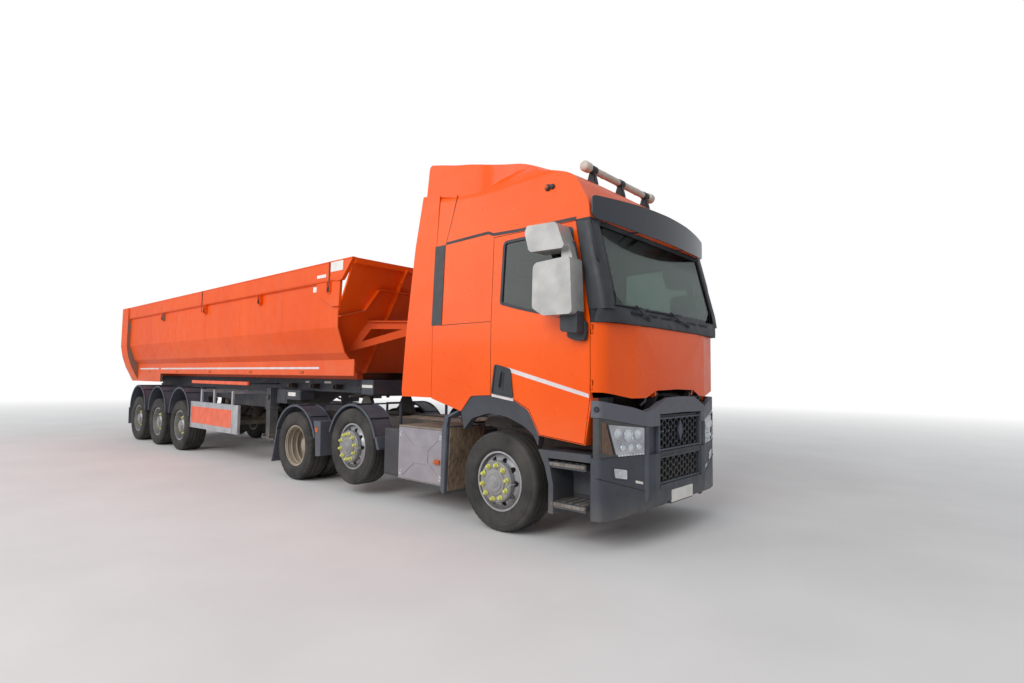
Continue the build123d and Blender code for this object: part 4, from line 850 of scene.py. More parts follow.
for y in (-0.75, -0.45, -0.15, 0.15, 0.45, 0.75):
    for k in range(5):
        scuttle.block((1.298, 1.312), (y - 0.11, y + 0.11), (2.132 + k * 0.0085, 2.136 + k * 0.0085))
scuttle.done("scuttle", "cab", "trim_black", 0.002, 40)
wipers = Piece()
for pivot, tip in ((-0.536, -1.0), (0.325, -0.42)):
    wipers.turned((1.312, pivot, 2.125), (1, 0, 0.35), [(0, 0.028), (0.02, 0.026), (0.03, 0.016)], 20)
    x_tip = screen_x(2.235) + 0.022
    arm = [(1.335, pivot, 2.135), (1.325, pivot + (tip - pivot) * 0.3, 2.17)]
    wipers.tube([*arm, (x_tip + 0.012, (pivot + tip) / 2, 2.235)], 0.009)
    places = [tip - 0.12 + (pivot - tip) * k / 8 for k in range(9)]
    blade = [(x_tip, y, 2.215 + 0.012 * math.sin((y - tip + 0.12) * 2)) for y in places]
    wipers.tube(blade, 0.0085).tube([(x - 0.011, y, z + 0.002) for x, y, z in blade], 0.004, 6)
wipers.done("wipers", "cab", "trim_black", smooth=50)

# The front panel's upper seam, the visor's stays
rings = []
for k in range(25):
    y = -1.16 + 2.32 * k / 24
    x = 1.341 - 0.062 * (abs(y) / 1.2) ** 3
    rings.append([(x - 0.004, y, 2.046), (x, y, 2.048), (x, y, 2.052), (x - 0.004, y, 2.054)])
Piece().loft(rings).done("front_panel_seam", "cab", "seam_black")
stays = Piece()
for y in (-1.0, -0.5, 0.5, 1.0):
    x = 1.25 - 0.15 * (y / 1.2) ** 2
    stays.tube([(1.075, y, 3.02), (x - 0.01, y, 3.0)], 0.008)
    stays.turned((x + 0.002, y, 3.2), (1, 0, 0.1), [(0, 0.012), (0.006, 0.012), (0.009, 0.006)], 12)
stays.done("visor_stays", "cab", "trim_black")

# Light bar: end caps, clamps and feet
BAR_X, BAR_Z = 0.68, 3.745
bar = Piece()
for y, sign in ((-0.685, -1), (0.685, 1)):
    cap = [(-0.06, 0.0405), (-0.05, 0.055), (0.03, 0.056), (0.045, 0.046), (0.052, 0.024)]
    bar.turned((BAR_X, y, BAR_Z), (0, sign, 0), cap)
for y in (-0.36, 0.0, 0.36):
    clamp = [(0, 0.0395), (0.004, 0.0415), (0.02, 0.0415), (0.024, 0.0395)]
    bar.turned((BAR_X, y - 0.012, BAR_Z), ACROSS, clamp)
bar.done("light_bar_caps", "cab", "bar_beige", smooth=50)
feet = Piece()
for y in (-0.56, 0.0, 0.56):
    foot = [(0, 0.0405), (0.004, 0.044), (0.096, 0.044), (0.1, 0.0405)]
    feet.turned((BAR_X, y - 0.05, BAR_Z), ACROSS, foot)
    leg = [(0.62, 3.63, 0.01), (0.655, 3.735, 0.02), (0.705, 3.735, 0.02), (0.745, 3.575, 0.01)]
    feet.slab(leg, "Y", y - 0.018, y + 0.018)
feet.done("light_bar_feet", "cab", "trim_black", 0.003, 50)

# Steering wheel, dashboard and seats
centre = Vector((0.72, -0.65, 2.03))
lean = Vector((-0.82, 0, 0.57)).normalized()
side_way = Vector(ACROSS)
up_way = lean.cross(side_way).normalized()
steering = Piece().tube(circle(centre, side_way, up_way, 0.225, 36), 0.015, 10, closed=True)
for a in (0.5, 2.64, 4.71):
    steering.tube([centre, centre + (side_way * math.cos(a) + up_way * math.sin(a)) * 0.22], 0.013)
steering.turned(centre - lean * 0.03, lean, [(0, 0.07), (0.03, 0.07), (0.045, 0.055)])
steering.tube([centre, centre - lean * 0.22], 0.035, 12).done("steering_wheel", "cab", "cab_cloth", smooth=50)
dash = Piece()
for y in (-0.65, -0.1, 0.35, 0.75):
    dash.slab([(0.845, 1.86, 0.01), (0.835, 2.0, 0.02), (0.86, 2.0), (0.86, 1.86)], "Y", y - 0.16, y + 0.16)
hood = [(0.86, 2.1, 0.02), (0.9, 2.16, 0.03), (1.1, 2.15, 0.03), (1.13, 2.1, 0.02)]
dash.slab(hood, "Y", -0.95, -0.35).done("dash_panels", "cab", "trim_black", 0.006)
seats = Piece()
for y in (-0.65, 0.65):
    head = [(-0.2, 2.66, 0.03), (-0.09, 2.66, 0.03), (-0.11, 2.84, 0.04), (-0.19, 2.84, 0.04)]
    seats.slab(head, "Y", y - 0.14, y + 0.14)
    for x in (-0.06, 0.06, 0.18, 0.3):
        pad = [(x, 1.9, 0.02), (x, 1.925, 0.02), (x + 0.11, 1.925, 0.02), (x + 0.11, 1.9, 0.02)]
        seats.slab(pad, "Y", y - 0.2, y + 0.2)
    for z in (1.95, 2.13, 2.31, 2.49):
        pad = [(-0.085, z, 0.02), (-0.06, z + 0.01, 0.02), (-0.06, z + 0.15, 0.02), (-0.085, z + 0.16, 0.02)]
        seats.slab(pad, "Y", y - 0.2, y + 0.2)
seats.done("seat_pads", "cab", "cab_cloth", 0.012, 50)

# Headlamps: smoked housing, amber outer section, clear lenses, the strip of small lights beneath
LAMP = Face((1.212, 1.228), (1.345, 0.651), 0.0, 1.0)
LENSES = (
    (0.36, 1.05, 0.05), (0.58, 1.03, 0.058), (0.8, 1.035, 0.048), (0.47, 0.925, 0.036), (0.64, 0.92, 0.04),
    (0.82, 0.92, 0.036),
)
LENS_BOWL = ((0, 1.0), (0.012, 0.97), (0.016, 0.86), (0.01, 0.8), (0.018, 0.6), (0.024, 0.3))
for side in SIDES:
    shell = [(0.0, 0.85), (0.985, 0.85), (0.985, 1.105), (0.0, 1.178)]
    Piece(side).on_face(LAMP, shell, 0.0015, 0.004).done("lamp_housing_*", "tractor", "lamp_dark")
    amber = [(0.02, 0.9), (0.27, 0.862), (0.105, 1.155), (0.02, 1.168)]
    amber = Piece(side).on_face(LAMP, amber, 0.006, 0.006)
    for k in range(6):
        z, wide = 0.91 + 0.042 * k, 0.2 - 0.021 * k
        rib = [(0.025, z), (0.025 + wide, z - 0.008), (0.02 + wide, z + 0.006), (0.025, z + 0.012)]
        amber.on_face(LAMP, rib, 0.009, 0.006)
    amber.done("lamp_outer_*", "tractor", "lamp_brown", 0.001)
    shine = [(0.145, 1.14, 0.02), (0.315, 0.868, 0.02), (0.95, 0.868, 0.02), (0.95, 1.095, 0.02)]
    Piece(side).on_face(LAMP, shine, 0.005, 0.005).done("lamp_reflector_*", "tractor", "lamp_chrome", 0.001)
    lenses = Piece(side)
    for t, z, r in LENSES:
        bowl = [(reach, r * part) for reach, part in LENS_BOWL] + [(0.025, 0.002)]
        lenses.turned(LAMP.point(t, z, 0.003), LAMP.normal, bowl, 28)
    lenses.done("lamp_lenses_*", "tractor", "lamp_clear", smooth=40)
    cells = Piece(side)
    for k in range(9):
        t = 0.36 + 0.066 * k
        cells.on_face(LAMP, rect(t, t + 0.05, 0.851, 0.867), 0.011, 0.01)
    cells.done("lamp_strip_*", "tractor", "lamp_clear", 0.002)
    slant = [(0.115, 1.15), (0.14, 1.15), (0.31, 0.868), (0.28, 0.868)]
    ribs = Piece(side).on_face(LAMP, slant, 0.012, 0.012)
    ribs.on_face(LAMP, rect(0.0, 0.99, 0.848, 0.852), 0.01, 0.012)
    ribs.on_face(LAMP, [(0.96, 0.85), (0.99, 0.85), (0.99, 1.105), (0.96, 1.107)], 0.012, 0.012)
    ribs.done("lamp_ribs_*", "tractor", "trim_black", 0.001)

# Bumper: corner ridges, seam, fog lamps, reflectors, steps and blank plate
CORNER = Face((1.215, 1.235), (1.352, 0.65), 1.235, 0.65)
RIDGE = ((1.335, 0.69), (1.352, 0.672), (1.364, 0.652), (1.364, 0.632), (1.355, 0.606), (1.34, 0.606))
for side in SIDES:
    rings = []
    for z in (0.3, 0.34, 0.45, 0.6, 0.8, 1.0, 1.1):
        rings.append([(x - max(0.4 - z, 0.0) * 0.45, y, z) for x, y in RIDGE])
    Piece(side).loft(rings).done("bumper_ridge_*", "tractor", "dark_plastic", 0.004, 60)
    line = [(1.233, 0.672), (0.665, 0.512), (0.665, 0.506), (1.233, 0.666)]
    seam = Piece(side).on_face(CORNER, line, 0.0015, 0.003)
    seam.slab([(1.14, 1.242), (1.215, 1.2365), (1.215, 1.23), (1.14, 1.235)], "Z", 0.668, 0.674)
    seam.done("bumper_seam_*", "tractor", "seam_black")
    fog = [(1.1, 0.768, 0.02), (0.9, 0.735, 0.02), (0.9, 0.625, 0.02), (1.08, 0.655, 0.02)]
    Piece(side).on_face(CORNER, fog, 0.004, 0.006).done("fog_recess_*", "tractor", "trim_black", 0.002)
    fog = [(1.075, 0.752, 0.015), (0.915, 0.725, 0.015), (0.915, 0.642, 0.015), (1.06, 0.668, 0.015)]
    bowl = [(0, 0.034), (0.006, 0.033), (0.004, 0.026), (0.01, 0.014), (0.011, 0.002)]
    fog = Piece(side).on_face(CORNER, fog, 0.008, 0.006)
    fog.turned(CORNER.point(0.995, 0.697, 0.006), CORNER.normal, bowl)
    fog.done("fog_lamp_*", "tractor", "lamp_clear", 0.001, 40)
    pale = [(0.8, 0.622, 0.006), (0.705, 0.6, 0.006), (0.705, 0.576, 0.006), (0.8, 0.598, 0.006)]
    pale = Piece(side).on_face(CORNER, pale, 0.004, 0.005)
    pale.done("bumper_reflector_*", "tractor", "plate_white", 0.001)
    steps = Piece(side)
    for z, top in ((0.35, 0.405), (0.715, 0.77)):
        for x in (0.70, 0.78, 0.86, 0.94, 1.0):
            steps.block((x - 0.022, x + 0.022), (0.93, 1.19), (top, top + 0.004))
        steps.block((0.65, 1.055), (1.222, 1.232), (z + 0.018, top - 0.006))
        for k in range(9):
            x = 0.67 + k * 0.045
            steps.block((x, x + 0.02), (1.226, 1.236), (z + 0.022, top - 0.01))
    steps.done("step_edges_*", "tractor", "worn_metal", 0.0015)
    well = Piece(side)
    for z in (0.5, 0.6, 0.65):
        for x in (0.68, 1.02):
            well.turned((x, 0.9, z), ACROSS, [(0, 0.012), (0.006, 0.012), (0.009, 0.006)], 6)
    well.slab(rect(0.7, 1.0, 0.44, 0.69, 0.03), "Y", 0.898, 0.906)
    well.done("step_well_*", "tractor", "dark_plastic", 0.003)
plate = Piece().slab(rect(-0.24, 0.24, 0.352, 0.472, 0.012), "X", 1.388, 1.4)
plate.done("blank_plate", "tractor", "plate_white", 0.001)
holder = Piece().slab(rect(-0.255, 0.255, 0.338, 0.486, 0.015), "X", 1.35, 1.392)
holder.done("plate_holder", "tractor", "dark_plastic", 0.002)

# Grille: the raised frame round the opening, its cross rails and plain boss; catches under the front panel
rim = Piece()
for y0, y1 in ((-0.482, -0.452), (0.452, 0.482)):
    rim.block((1.35, 1.388), (y0, y1), (0.555, 1.19))
for z in (0.555, 0.8, 0.868, 1.17):
    rim.block((1.36, 1.386), (-0.46, 0.46), (z - 0.008, z + 0.01))
rim.done("grille_frame", "tractor", "dark_plastic", 0.004)
boss = [(-0.05, 1.04, 0.02), (0.0, 0.93, 0.02), (0.05, 1.04, 0.02), (0.0, 1.15, 0.02)]
Piece().slab(boss, "X", 1.366, 1.384).done("grille_boss", "tractor", "dark_plastic", 0.006)
catches = Piece()
for y in (-0.62, 0.62):
    catches.tube([(1.28, y - 0.03, 1.30), (1.315, y, 1.34), (1.31, y + 0.02, 1.375)], 0.012)
catches.done("panel_catches", "tractor", "trim_black")
for side in SIDES:
    cup = [(0, 0.026), (0.01, 0.026), (0.016, 0.02), (0.012, 0.015), (0.014, 0.002)]
    cup = Piece(side).turned((1.175, 1.232, 1.275), (0.25, 1, 0), cup)
    cup.done("hoop_lens_*", "tractor", "trim_black", smooth=45)

# Grey locker on the right: pressed cross, recessed fixings, amber marker and walkway
LOCKER_Y = 1.2
locker = Piece("right").slab(rect(-1.655, -0.85, 0.345, 0.92, 0.05), "Y", LOCKER_Y - 0.002, LOCKER_Y + 0.012)
for xa, xb in ((-1.6, -1.38), (-0.92, -1.13)):
    for za, zb in ((0.88, 0.72), (0.39, 0.55)):
        run = Vector((xb - xa, zb - za)).normalized() * 0.028
        corners = [(xa - run.y, za + run.x), (xb - run.y, zb + run.x)]
        corners += [(xb + run.y, zb - run.x), (xa + run.y, za - run.x)]
        locker.slab(corners, "Y", LOCKER_Y + 0.012, LOCKER_Y + 0.017)
locker.slab(rect(-1.4, -1.11, 0.54, 0.73, 0.03), "Y", LOCKER_Y + 0.012, LOCKER_Y + 0.018)
locker.done("locker_door", "tractor", "locker_grey", 0.006, 50)
bits = Piece("right")
for x, z in ((-1.6, 0.86), (-0.905, 0.86), (-1.6, 0.405), (-0.905, 0.405)):
    cup = [(0, 0.03), (0.004, 0.03), (0.006, 0.024), (0.003, 0.02), (0.003, 0.01), (0.009, 0.008)]
    bits.turned((x, LOCKER_Y + 0.011, z), ACROSS, cup)
bits.done("locker_fixings", "tractor", "guard_alloy", smooth=40)
marker = Piece("right").slab(rect(-0.99, -0.9, 0.565, 0.615, 0.008), "Y", LOCKER_Y + 0.016, LOCKER_Y + 0.034)
marker.slab(rect(-0.965, -0.925, 0.575, 0.605), "Y", LOCKER_Y + 0.034, LOCKER_Y + 0.037)
marker.done("locker_marker", "tractor", "amber_lens", 0.003)
walkway = Piece("right").slab(rect(-1.665, -0.835, 0.945, 0.962, 0.01), "Y", 0.45, 1.2)
for k in range(14):
    walkway.block((-1.64 + k * 0.058, -1.61 + k * 0.058), (0.5, 1.17), (0.962, 0.967))
walkway.done("locker_walkway", "tractor", "dusty_metal", 0.002)

# Spray guards behind the front wheels: bristled faces and dark edges
EDGE = [
    (-0.74, 1.11, 0.03), (-0.8, 1.13, 0.03), (-0.845, 0.98, 0.03), (-0.855, 0.28, 0.02),
    (-0.795, 0.262, 0.02), (-0.78, 0.7), (-0.77, 1.0, 0.05),
]
for side in SIDES:
    rings = []
    for k in range(13):
        z = 0.985 - k * 0.058
        x = -0.77 - 0.032 * (0.985 - z) / 0.72
        far = x + 0.018 + 0.004 * (k % 2)
        rings.append([(x, 0.66, z), (far, 0.66, z), (far, 1.2, z), (x, 1.2, z)])
    Piece(side).loft(rings).done("spray_brush_*", "tractor", "brush_brown", smooth=60)
    edge = Piece(side).slab(EDGE, "Y", 1.2, 1.245)
    edge.slab([(-0.8, 1.12), (-0.745, 1.1), (-0.55, 1.19), (-0.56, 1.2)], "Y", 1.1, 1.24)
    edge.done("spray_edge_*", "tractor", "dark_plastic", 0.004)


# Mudguards: rolled edges and straps
def band(piece, x, z, radii, y_span, angles):
    """A curved band about a wheel's line, between two radii and two widths."""
    inner, outer = radii
    y0, y1 = y_span
    rings = []
    for angle in angles:
        c, s = math.cos(math.radians(angle)), math.sin(math.radians(angle))
        section = ((inner, y0), (inner, y1), (outer, y1), (outer, y0))
        rings.append([(x + radius * c, y, z + radius * s) for radius, y in section])
    piece.loft(rings)


def guard_dressing(name, side, body, x, z, radius, angle_span, y_in, y_out, straps):
    start, end = angle_span
    lip = Piece(side)
    for y_span in ((y_out - 0.014, y_out + 0.004), (y_in - 0.002, y_in + 0.012)):
        angles = [start + (end - start) * k / 32 for k in range(33)]
        band(lip, x, z, (radius - 0.014, radius + 0.017), y_span, angles)
    lip.done(f"{name}_*_lip", body, "dark_plastic", 0.003, 50)
    ties = Piece(side)
    for middle in straps:
        angles = [middle - 4 + 2 * k for k in range(5)]
        band(ties, x, z, (radius + 0.008, radius + 0.02), (y_in + 0.02, y_out - 0.02), angles)
    ties.done(f"{name}_*_straps", body, "dark_plastic", 0.003, 50)


TRACTOR_GUARDS = (
    ("drive_guard", DRIVE_X, 0.5, 0.59, 159, 38), ("pusher_guard", PUSHER_X, 0.62, 0.542, 164, 42),
)
PANEL = [(-3.6, 0.9, 0.02), (-3.41, 0.9, 0.02), (-3.39, 0.42, 0.02), (-3.52, 0.40, 0.02), (-3.545, 0.7, 0.05)]
GUARD_FOOT = [(-2.125, 0.775, 0.02), (-2.085, 0.79, 0.02), (-2.02, 0.63, 0.03), (-2.06, 0.62, 0.02)]
for side in SIDES:
    for name, x, z, radius, end, outer in TRACTOR_GUARDS:
        straps = 90 - outer, 90, 90 + outer
        guard_dressing(name, side, "tractor", x, z, radius, (16, end), 0.915, 1.238, straps)
    for number, x in enumerate(BOGIE_X):
        name = f"trailer_guard_{number}"
        guard_dressing(name, side, "trailer", x, 0.715, 0.54, (1, 179), 0.85, 1.245, (60, 90, 120))
    marker = Piece(side).slab(rect(-3.535, -3.46, 0.74, 0.81, 0.01), "Y", 1.2, 1.246)
    marker.done("guard_marker_*", "tractor", "amber_lens", 0.006)
    Piece(side).slab(PANEL, "Y", 1.0, 1.236).done("between_guards_*", "tractor", "dark_plastic", 0.006)
    flap = Piece(side)
    for k in range(9):
        x, z = -4.70 - 0.011 * k, 0.62 - k * 0.045
        flap.slab([(x, z), (x + 0.01, z - 0.02), (x, z - 0.025)], "Y", 0.93, 1.22)
    flap.done("flap_ribs_*", "tractor", "dark_plastic")
    foot = Piece(side).slab(GUARD_FOOT, "Y", 0.93, 1.236)
    foot.done("pusher_guard_foot_*", "tractor", "dark_plastic", 0.005)


# Behind the cab: walkway, driveline, air tanks, coupling stand, rear beam with its lamps, tank straps
def tank_profile(half, mouth, neck, radius, shoulder, drop):
    """An air tank's outline from end to end, about its middle."""
    end = [(-half, mouth), (-half + drop, neck), (-half + shoulder, radius)]
    return end + [(-x, r) for x, r in reversed(end)]


deck = Piece().slab(rect(-2.75, -1.35, -0.42, 0.42, 0.01), "Z", 0.962, 0.972)
for i in range(22):
    for j in range(12):
        x, y = -2.7 + i * 0.062, -0.38 + j * 0.068
        lean = 0.016 if (i + j) % 2 else -0.016
        near, far = y - lean, y + lean
        foot = [(x - 0.016, near, 0.972), (x + 0.016, far, 0.972), (x + 0.014, far + 0.006, 0.972)]
        near, far = y - lean * 0.7, y + lean * 0.7
        top = [(x - 0.012, near, 0.9755), (x + 0.012, far, 0.9755), (x + 0.010, far + 0.003, 0.9755)]
        deck.loft([foot, top])
deck.done("walkway", "tractor", "dusty_metal")
line = Piece().turned((-2.35, 0, 0.86), AHEAD, tank_profile(0.55, 0.05, 0.115, 0.13, 0.05, 0.01), 28)
line.turned((-0.95, 0, 0.87), AHEAD, [(-0.35, 0.1), (-0.3, 0.17), (0.1, 0.2), (0.3, 0.26), (0.34, 0.2)], 28)
line.tube([(-1.3, 0, 0.86), (-3.75, 0, 0.58)], 0.055, 16)
line.done("driveline", "tractor", "engine_iron", smooth=45)
air = Piece()
for y in (-0.27, 0.27):
    air.turned((-3.35, y, 0.75), AHEAD, tank_profile(0.3, 0.02, 0.09, 0.12, 0.06, 0.015))
air.done("tractor_air_tanks", "tractor", "tank_black", smooth=50)
stand = Piece()
stand.tube([(-1.45, -0.35, 0.97), (-1.45, -0.35, 1.42), (-1.45, 0.35, 1.42), (-1.45, 0.35, 0.97)], 0.02, 10)
stand.block((-1.47, -1.4), (-0.3, 0.3), (1.2, 1.36))
for y in (-0.22, -0.11, 0.0, 0.11, 0.22):
    stand.turned((-1.47, y, 1.29), (-1, 0, 0), [(0, 0.026), (0.03, 0.026), (0.035, 0.018), (0.06, 0.018)], 14)
stand.done("coupling_stand", "tractor", "trim_black", 0.003)
rear = Piece().block((-4.86, -4.8), (-0.62, 0.62), (0.72, 0.82))
lights = Piece()
for y in (-0.56, 0.56):
    rear.block((-4.9, -4.86), (y - 0.17, y + 0.17), (0.7, 0.83))
    for middle in (y - 0.11, y, y + 0.11):
        lights.block((-4.906, -4.9), (middle - 0.045, middle + 0.045), (0.72, 0.81))
rear.done("tractor_rear_beam", "tractor", "chassis_grey", 0.006)
lights.done("tractor_tail_lamps", "tractor", "red_lens", 0.003)
lube = Piece().turned((-3.533, 0, 1.2885), UPWARD, [(0, 0.05), (0.001, 0.05)])
lube.done("coupling_grease", "tractor", "tank_black")
fuel_cap = [(0, 0.045), (0.02, 0.05), (0.05, 0.05), (0.055, 0.04)]
fuel = Piece().turned((-1.05, 1.15, 0.925), (0, 0.35, 1), fuel_cap)
for x in (-1.75, -1.4, -1.05):
    fuel.block((x - 0.02, x + 0.02), (1.188, 1.198), (0.34, 0.92))
fuel.done("tank_straps", "tractor", "guard_alloy", 0.003)

# Tipping body: stripe, rail, welds, lugs, hooks, blank labels, side lamps, hinge collars
LUGS_X = (-3.3, -5.45, -7.75, -10.09)
for side in SIDES:
    stripe = Piece(side)
    for span in ((-10.8, -3.9), (-12.3, -10.95)):
        stripe.block(span, (0.9995, 1.0015), (1.64, 1.672))
    stripe.done("sill_stripe_*", "bed", "stripe_white")
    cap = [(1.19, 3.135), (1.256, 3.135, 0.008), (1.256, 3.156, 0.01), (1.19, 3.156, 0.008)]
    rail = Piece(side).slab(cap, "X", -12.92, -2.7).block((-12.44, -3.0), (1.249, 1.253), (2.895, 2.91))
    for x in [-3.6 - 1.1 * k for k in range(9)]:
        rail.slab([(1.2, 2.86), (1.252, 2.885), (1.252, 3.14), (1.2, 3.14)], "X", x - 0.006, x + 0.006)
    rail.done("rail_cap_*", "bed", "body_orange", 0.002)
    welds = Piece(side)
    for x in [-4.7 - 1.55 * k for k in range(6)]:
        rings = []
        for z in (2.85, 2.22, 1.87, 1.72):
            y = between(HALF_PIPE, z)
            rings.append([(px, py, z) for px, py in rect(x - 0.004, x + 0.004, y + 0.0015, y - 0.002)])
        welds.loft(rings)
    welds.done("skin_welds_*", "bed", "body_orange", smooth=60)
    lugs = Piece(side).slab([(-3.62, 2.70), (-3.03, 2.62), (-3.03, 2.51), (-3.2, 2.51)], "Y", 1.2, 1.24)
    hooks = Piece(side)
    for x in LUGS_X:
        for near in (x - 0.05, x + 0.035):
            lugs.slab([(1.2, 2.70), (1.254, 2.73), (1.254, 2.88), (1.2, 2.88)], "X", near, near + 0.015)
        lugs.block((x - 0.04, x + 0.04), (1.2, 1.25), (2.7, 2.715))
        hooks.tube([(x, 1.2, 2.8), (x, 1.25, 2.79), (x, 1.262, 2.75), (x, 1.245, 2.728)], 0.012)
    for x in (-3.27, -7.86):
        hooks.block((x - 0.013, x + 0.013), (1.254, 1.2575), (2.74, 3.15))
    lugs.done("rail_lugs_*", "bed", "body_orange", 0.002)
    hooks.done("sheet_hooks_*", "bed", "strap_dark", smooth=50)
    labels = Piece(side).block((-3.24, -2.93), (1.2495, 1.2535), (3.0, 3.15))
    labels.block((-3.78, -3.34), (1.205, 1.2085), (2.76, 2.84))
    labels.block((-3.6, -3.36), (1.2495, 1.2535), (2.94, 2.985))
    labels.done("blank_labels_*", "bed", "plate_white", 0.001)
    lamps = Piece(side)
    for x in (-4.4, -6.2, -8.0, -9.8, -11.6):
        lamps.slab(rect(x - 0.045, x + 0.045, 1.575, 1.612, 0.008), "Y", 0.999, 1.014)
    lamps.done("side_lamps_*", "bed", "amber_lens", 0.004)
    collar = [(0, 0.055), (0.012, 0.055), (0.016, 0.048), (0.016, 0.0315), (0.004, 0.0315)]
    collar = Piece(side).turned((-12.1, 0.455, 1.4), ACROSS, collar, 28)
    collar.done("hinge_collars_*", "bed", "worn_metal", smooth=40)

gate = Piece()
for y in (-0.9, -0.45, 0.0, 0.45, 0.9):
    gate.slab(rect(y - 0.045, y + 0.045, 1.62 if abs(y) < 0.8 else 1.86, 2.96, 0.01), "X", -12.994, -13.0)
for z, wide in ((1.75, 1.0), (2.25, 1.18), (2.95, 1.18)):
    gate.slab(rect(-wide, wide, z - 0.05, z + 0.05, 0.01), "X", -12.994, -12.9995)
gate.done("gate_ribs", "tailgate", "body_orange", 0.002)
latch = Piece()
for y in (-0.75, 0.75):
    tongue = [(y - 0.03, 1.5, 0.01), (y + 0.03, 1.5, 0.01), (y + 0.03, 1.66, 0.02), (y - 0.03, 1.66, 0.02)]
    latch.slab(tongue, "X", -12.99, -12.945)
    latch.turned((-12.96, y - 0.05, 1.53), ACROSS, [(0, 0.022), (0.1, 0.022)], 16)
latch.done("gate_latches", "bed", "worn_metal", 0.003)

# Front of the body: trunnion rings and gussets; the ram's collars and the port at its foot
front = Piece()
for sign in SIDES.values():
    ring = [(0, 0.062), (0.012, 0.062), (0.016, 0.055), (0.016, 0.041)]
    front.turned((RAM_X, sign * 0.21, 2.25), (0, sign, 0), ring, 28)
    for z in (1.75, 2.05, 2.65, 2.9):
        y = 0.47 - 0.14 * (z - 1.5) / 1.6
        x = -3.55 + 0.8 * (z - 1.59) / 1.515
        front.block((x + 0.02, x + 0.085), (sign * (y - 0.03), sign * (y + 0.05)), (z - 0.005, z + 0.005))
front.done("bulkhead_gussets", "bed", "body_orange", 0.001)
collars = Piece()
for z, radius, top, end in ((1.39, 0.124, 0.05, 0.056), (3.06, 0.122, 0.045, 0.05)):
    collar = [(0.0, 0.117), (0.004, radius), (top, radius), (end, 0.117)]
    collars.turned((RAM_X, 0, z), UPWARD, collar, 36)
collars.done("ram_collars", "ram_cover", "worn_metal", smooth=40)
port = [(-0.07, 0.02), (0.085, 0.02), (0.09, 0.028), (0.12, 0.028), (0.125, 0.02)]
port = Piece().turned((RAM_X, 0, 1.31), AHEAD, port, 16)
port.done("ram_port", "ram_stage_5", "worn_metal", smooth=40)

# Trailer frame: boxes, valves, strips, side guards, leg fittings, flaps, lamps, air bags, tanks
BOXES = (
    (-5.25, -4.8, 1.14, 1.3, 0.8), (-5.76, -5.4, 1.06, 1.3, 0.72), (-9.7, -9.35, 1.02, 1.25, 0.72),
    (-11.0, -10.65, 1.05, 1.25, 0.72),
)
VALVE = [(0, 0.045), (0.05, 0.045), (0.055, 0.03), (0.09, 0.03), (0.095, 0.018)]
BAG = [(0, 0.111), (0.03, 0.124), (0.07, 0.124), (0.1, 0.111)]
BRAKE_DRUM = [(-0.06, 0.19), (0.02, 0.205), (0.05, 0.205), (0.055, 0.17)]
LEG_X = -5.85


def side_guard(side):
    bar = Piece(side).slab(rect(-8.45, -5.95, 1.36, 1.42, 0.01), "Y", 1.12, 1.16)
    bar.done("upper_guard_bar_*", "trailer", "guard_red", 0.006)
    stays = Piece(side)
    for x in (-8.2, -7.3, -6.5, -6.05):
        stays.block((x - 0.02, x + 0.02), (0.55, 1.13), (1.375, 1.4))
    stays.done("guard_stays_*", "trailer", "trailer_blue", 0.003)
    panel = Piece(side).slab(rect(-8.25, -6.42, 0.6, 0.915, 0.01), "Y", 1.2095, 1.214)
    panel.done("guard_panel_*", "trailer", "guard_red", 0.002)
    edges = Piece(side)
    for z in (0.515, 0.56, 0.955, 1.0):
        edges.slab(rect(-8.285, -6.145, z - 0.008, z + 0.008), "Y", 1.209, 1.218)
    for x in (-8.27, -6.38, -6.16):
        edges.slab(rect(x - 0.012, x + 0.012, 0.51, 1.005), "Y", 1.209, 1.217)
    edges.done("guard_edges_*", "trailer", "guard_alloy", 0.002)


def leg_fittings(side):
    legs = Piece(side).turned((LEG_X, 0.75, 1.16), ACROSS, [(0.07, 0.045), (0.1, 0.045), (0.105, 0.03)], 16)
    legs.block((LEG_X - 0.09, LEG_X + 0.09), (0.665, 0.835), (0.95, 1.0))
    legs.block((LEG_X - 0.035, LEG_X + 0.035), (0.715, 0.785), (0.47, 0.52))
    for x in (LEG_X - 0.11, LEG_X + 0.11):
        legs.turned((x, 0.645, 0.5), ACROSS, [(0, 0.022), (0.21, 0.022)], 14)
    legs.tube([(LEG_X - 0.01, 0.6, 1.1), (-6.5, 0.56, 1.3)], 0.022, 10)
    legs.done("leg_fittings_*", "trailer", "trailer_blue", 0.004)


def tail_lamp(side):
    box = Piece(side).slab(rect(0.62, 1.12, 0.61, 0.76, 0.02), "X", -12.22, -12.14)
    box.done("tail_lamp_box_*", "trailer", "tank_black", 0.006)
    for k, look in enumerate(("red_lens", "red_lens", "amber_lens", "plate_white")):
        y = 0.7 + 0.12 * k
        pane = Piece(side).slab(rect(y - 0.05, y + 0.05, 0.63, 0.74, 0.012), "X", -12.232, -12.21)
        for j in range(4):
            pane.block((-12.235, -12.23), (y - 0.04, y + 0.04), (0.645 + j * 0.025, 0.652 + j * 0.025))
        pane.done(f"tail_lens_{k}_*", "trailer", look, 0.002)


def air_bags(side):
    bags = Piece(side)
    for x in BOGIE_X:
        for z in (0.62, 0.74, 0.86, 0.98):
            bags.turned((x - 0.3, 0.52, z), UPWARD, BAG, 28)
        bags.turned((x, 0.86, 0.5), ACROSS, BRAKE_DRUM, 32)
        bags.tube([(x + 0.1, 0.62, 0.62), (x + 0.16, 0.64, 0.8), (x + 0.22, 0.6, 1.05)], 0.035, 12)
    bags.done("air_bags_*", "trailer", "tank_black", smooth=40)


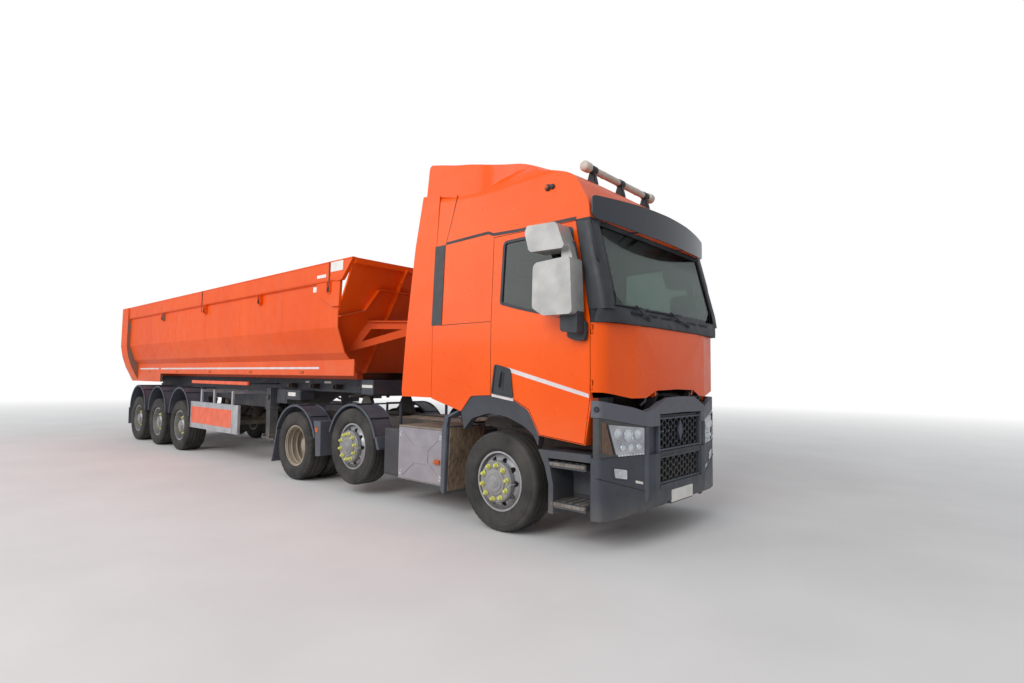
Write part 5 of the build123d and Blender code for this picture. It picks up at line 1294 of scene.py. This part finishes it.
for side in SIDES:
    boxes = Piece(side)
    for x0, x1, z0, z1, y in BOXES:
        boxes.slab(rect(x0, x1, z0, z1, 0.015), "Y", 0.548, y)
        boxes.block((x0 + 0.03, x1 - 0.03), (y, y + 0.008), (z0 + 0.03, z1 - 0.03))
    boxes.done("frame_boxes_*", "trailer", "trailer_blue", 0.005)
    valves = Piece(side)
    for x in (-3.25, -3.15, -4.0, -4.68, -5.4):
        valves.turned((x, 0.62, 1.37), ACROSS, VALVE, 20)
        valves.block((x - 0.03, x + 0.03), (0.545, 0.64), (1.33, 1.41))
    valves.done("frame_valves_*", "trailer", "tank_black", 0.003)
    pale = Piece(side)
    for span in ((-4.5, -4.3), (-5.1, -4.98)):
        pale.block(span, (0.5495, 0.5515), (1.42, 1.45))
    pale.block((-2.99, -2.74), (0.8495, 0.8515), (1.38, 1.42))
    pale.block((-5.18, -4.94), (0.808, 0.8105), (1.2, 1.26))
    pale.done("frame_strips_*", "trailer", "plate_white")
    side_guard(side)
    leg_fittings(side)
    flap = [(-12.16, 0.72, 0.004), (-12.15, 0.72, 0.004), (-12.128, 0.34, 0.004), (-12.14, 0.335, 0.004)]
    flap = Piece(side).slab(flap, "Y", 0.87, 1.235).block((-12.165, -12.12), (0.56, 1.2), (0.7, 0.74))
    flap.done("rear_flap_*", "trailer", "dark_plastic", 0.002)
    tail_lamp(side)
    air_bags(side)
tanks = Piece().turned((-9.9, 0, 1.15), AHEAD, tank_profile(0.5, 0.03, 0.1, 0.13, 0.08, 0.02), 28)
for y in (-0.3, 0.3):
    tanks.turned((-7.2, y, 1.12), AHEAD, tank_profile(0.6, 0.03, 0.12, 0.15, 0.08, 0.02), 28)
for y in (-0.47, 0.47):
    tanks.tube([(-4.0, y, 1.33), (-6.2, y, 1.3), (-6.6, y * 0.9, 1.15), (-11.8, y * 0.9, 1.15)], 0.016)
tanks.done("trailer_air_tanks", "trailer", "tank_black", smooth=50)
plate = Piece().slab(rect(-0.26, 0.26, 0.485, 0.595, 0.01), "X", -12.231, -12.236)
plate.done("rear_blank_plate", "trailer", "plate_white", 0.001)

# The coupling's release handle
rod = [(-3.5, -0.44, 1.25), (-3.5, -0.6, 1.245), (-3.47, -0.68, 1.24), (-3.47, -0.74, 1.24)]
Piece().tube(rod, 0.011).done("release_handle", "tractor", "worn_metal", smooth=50)
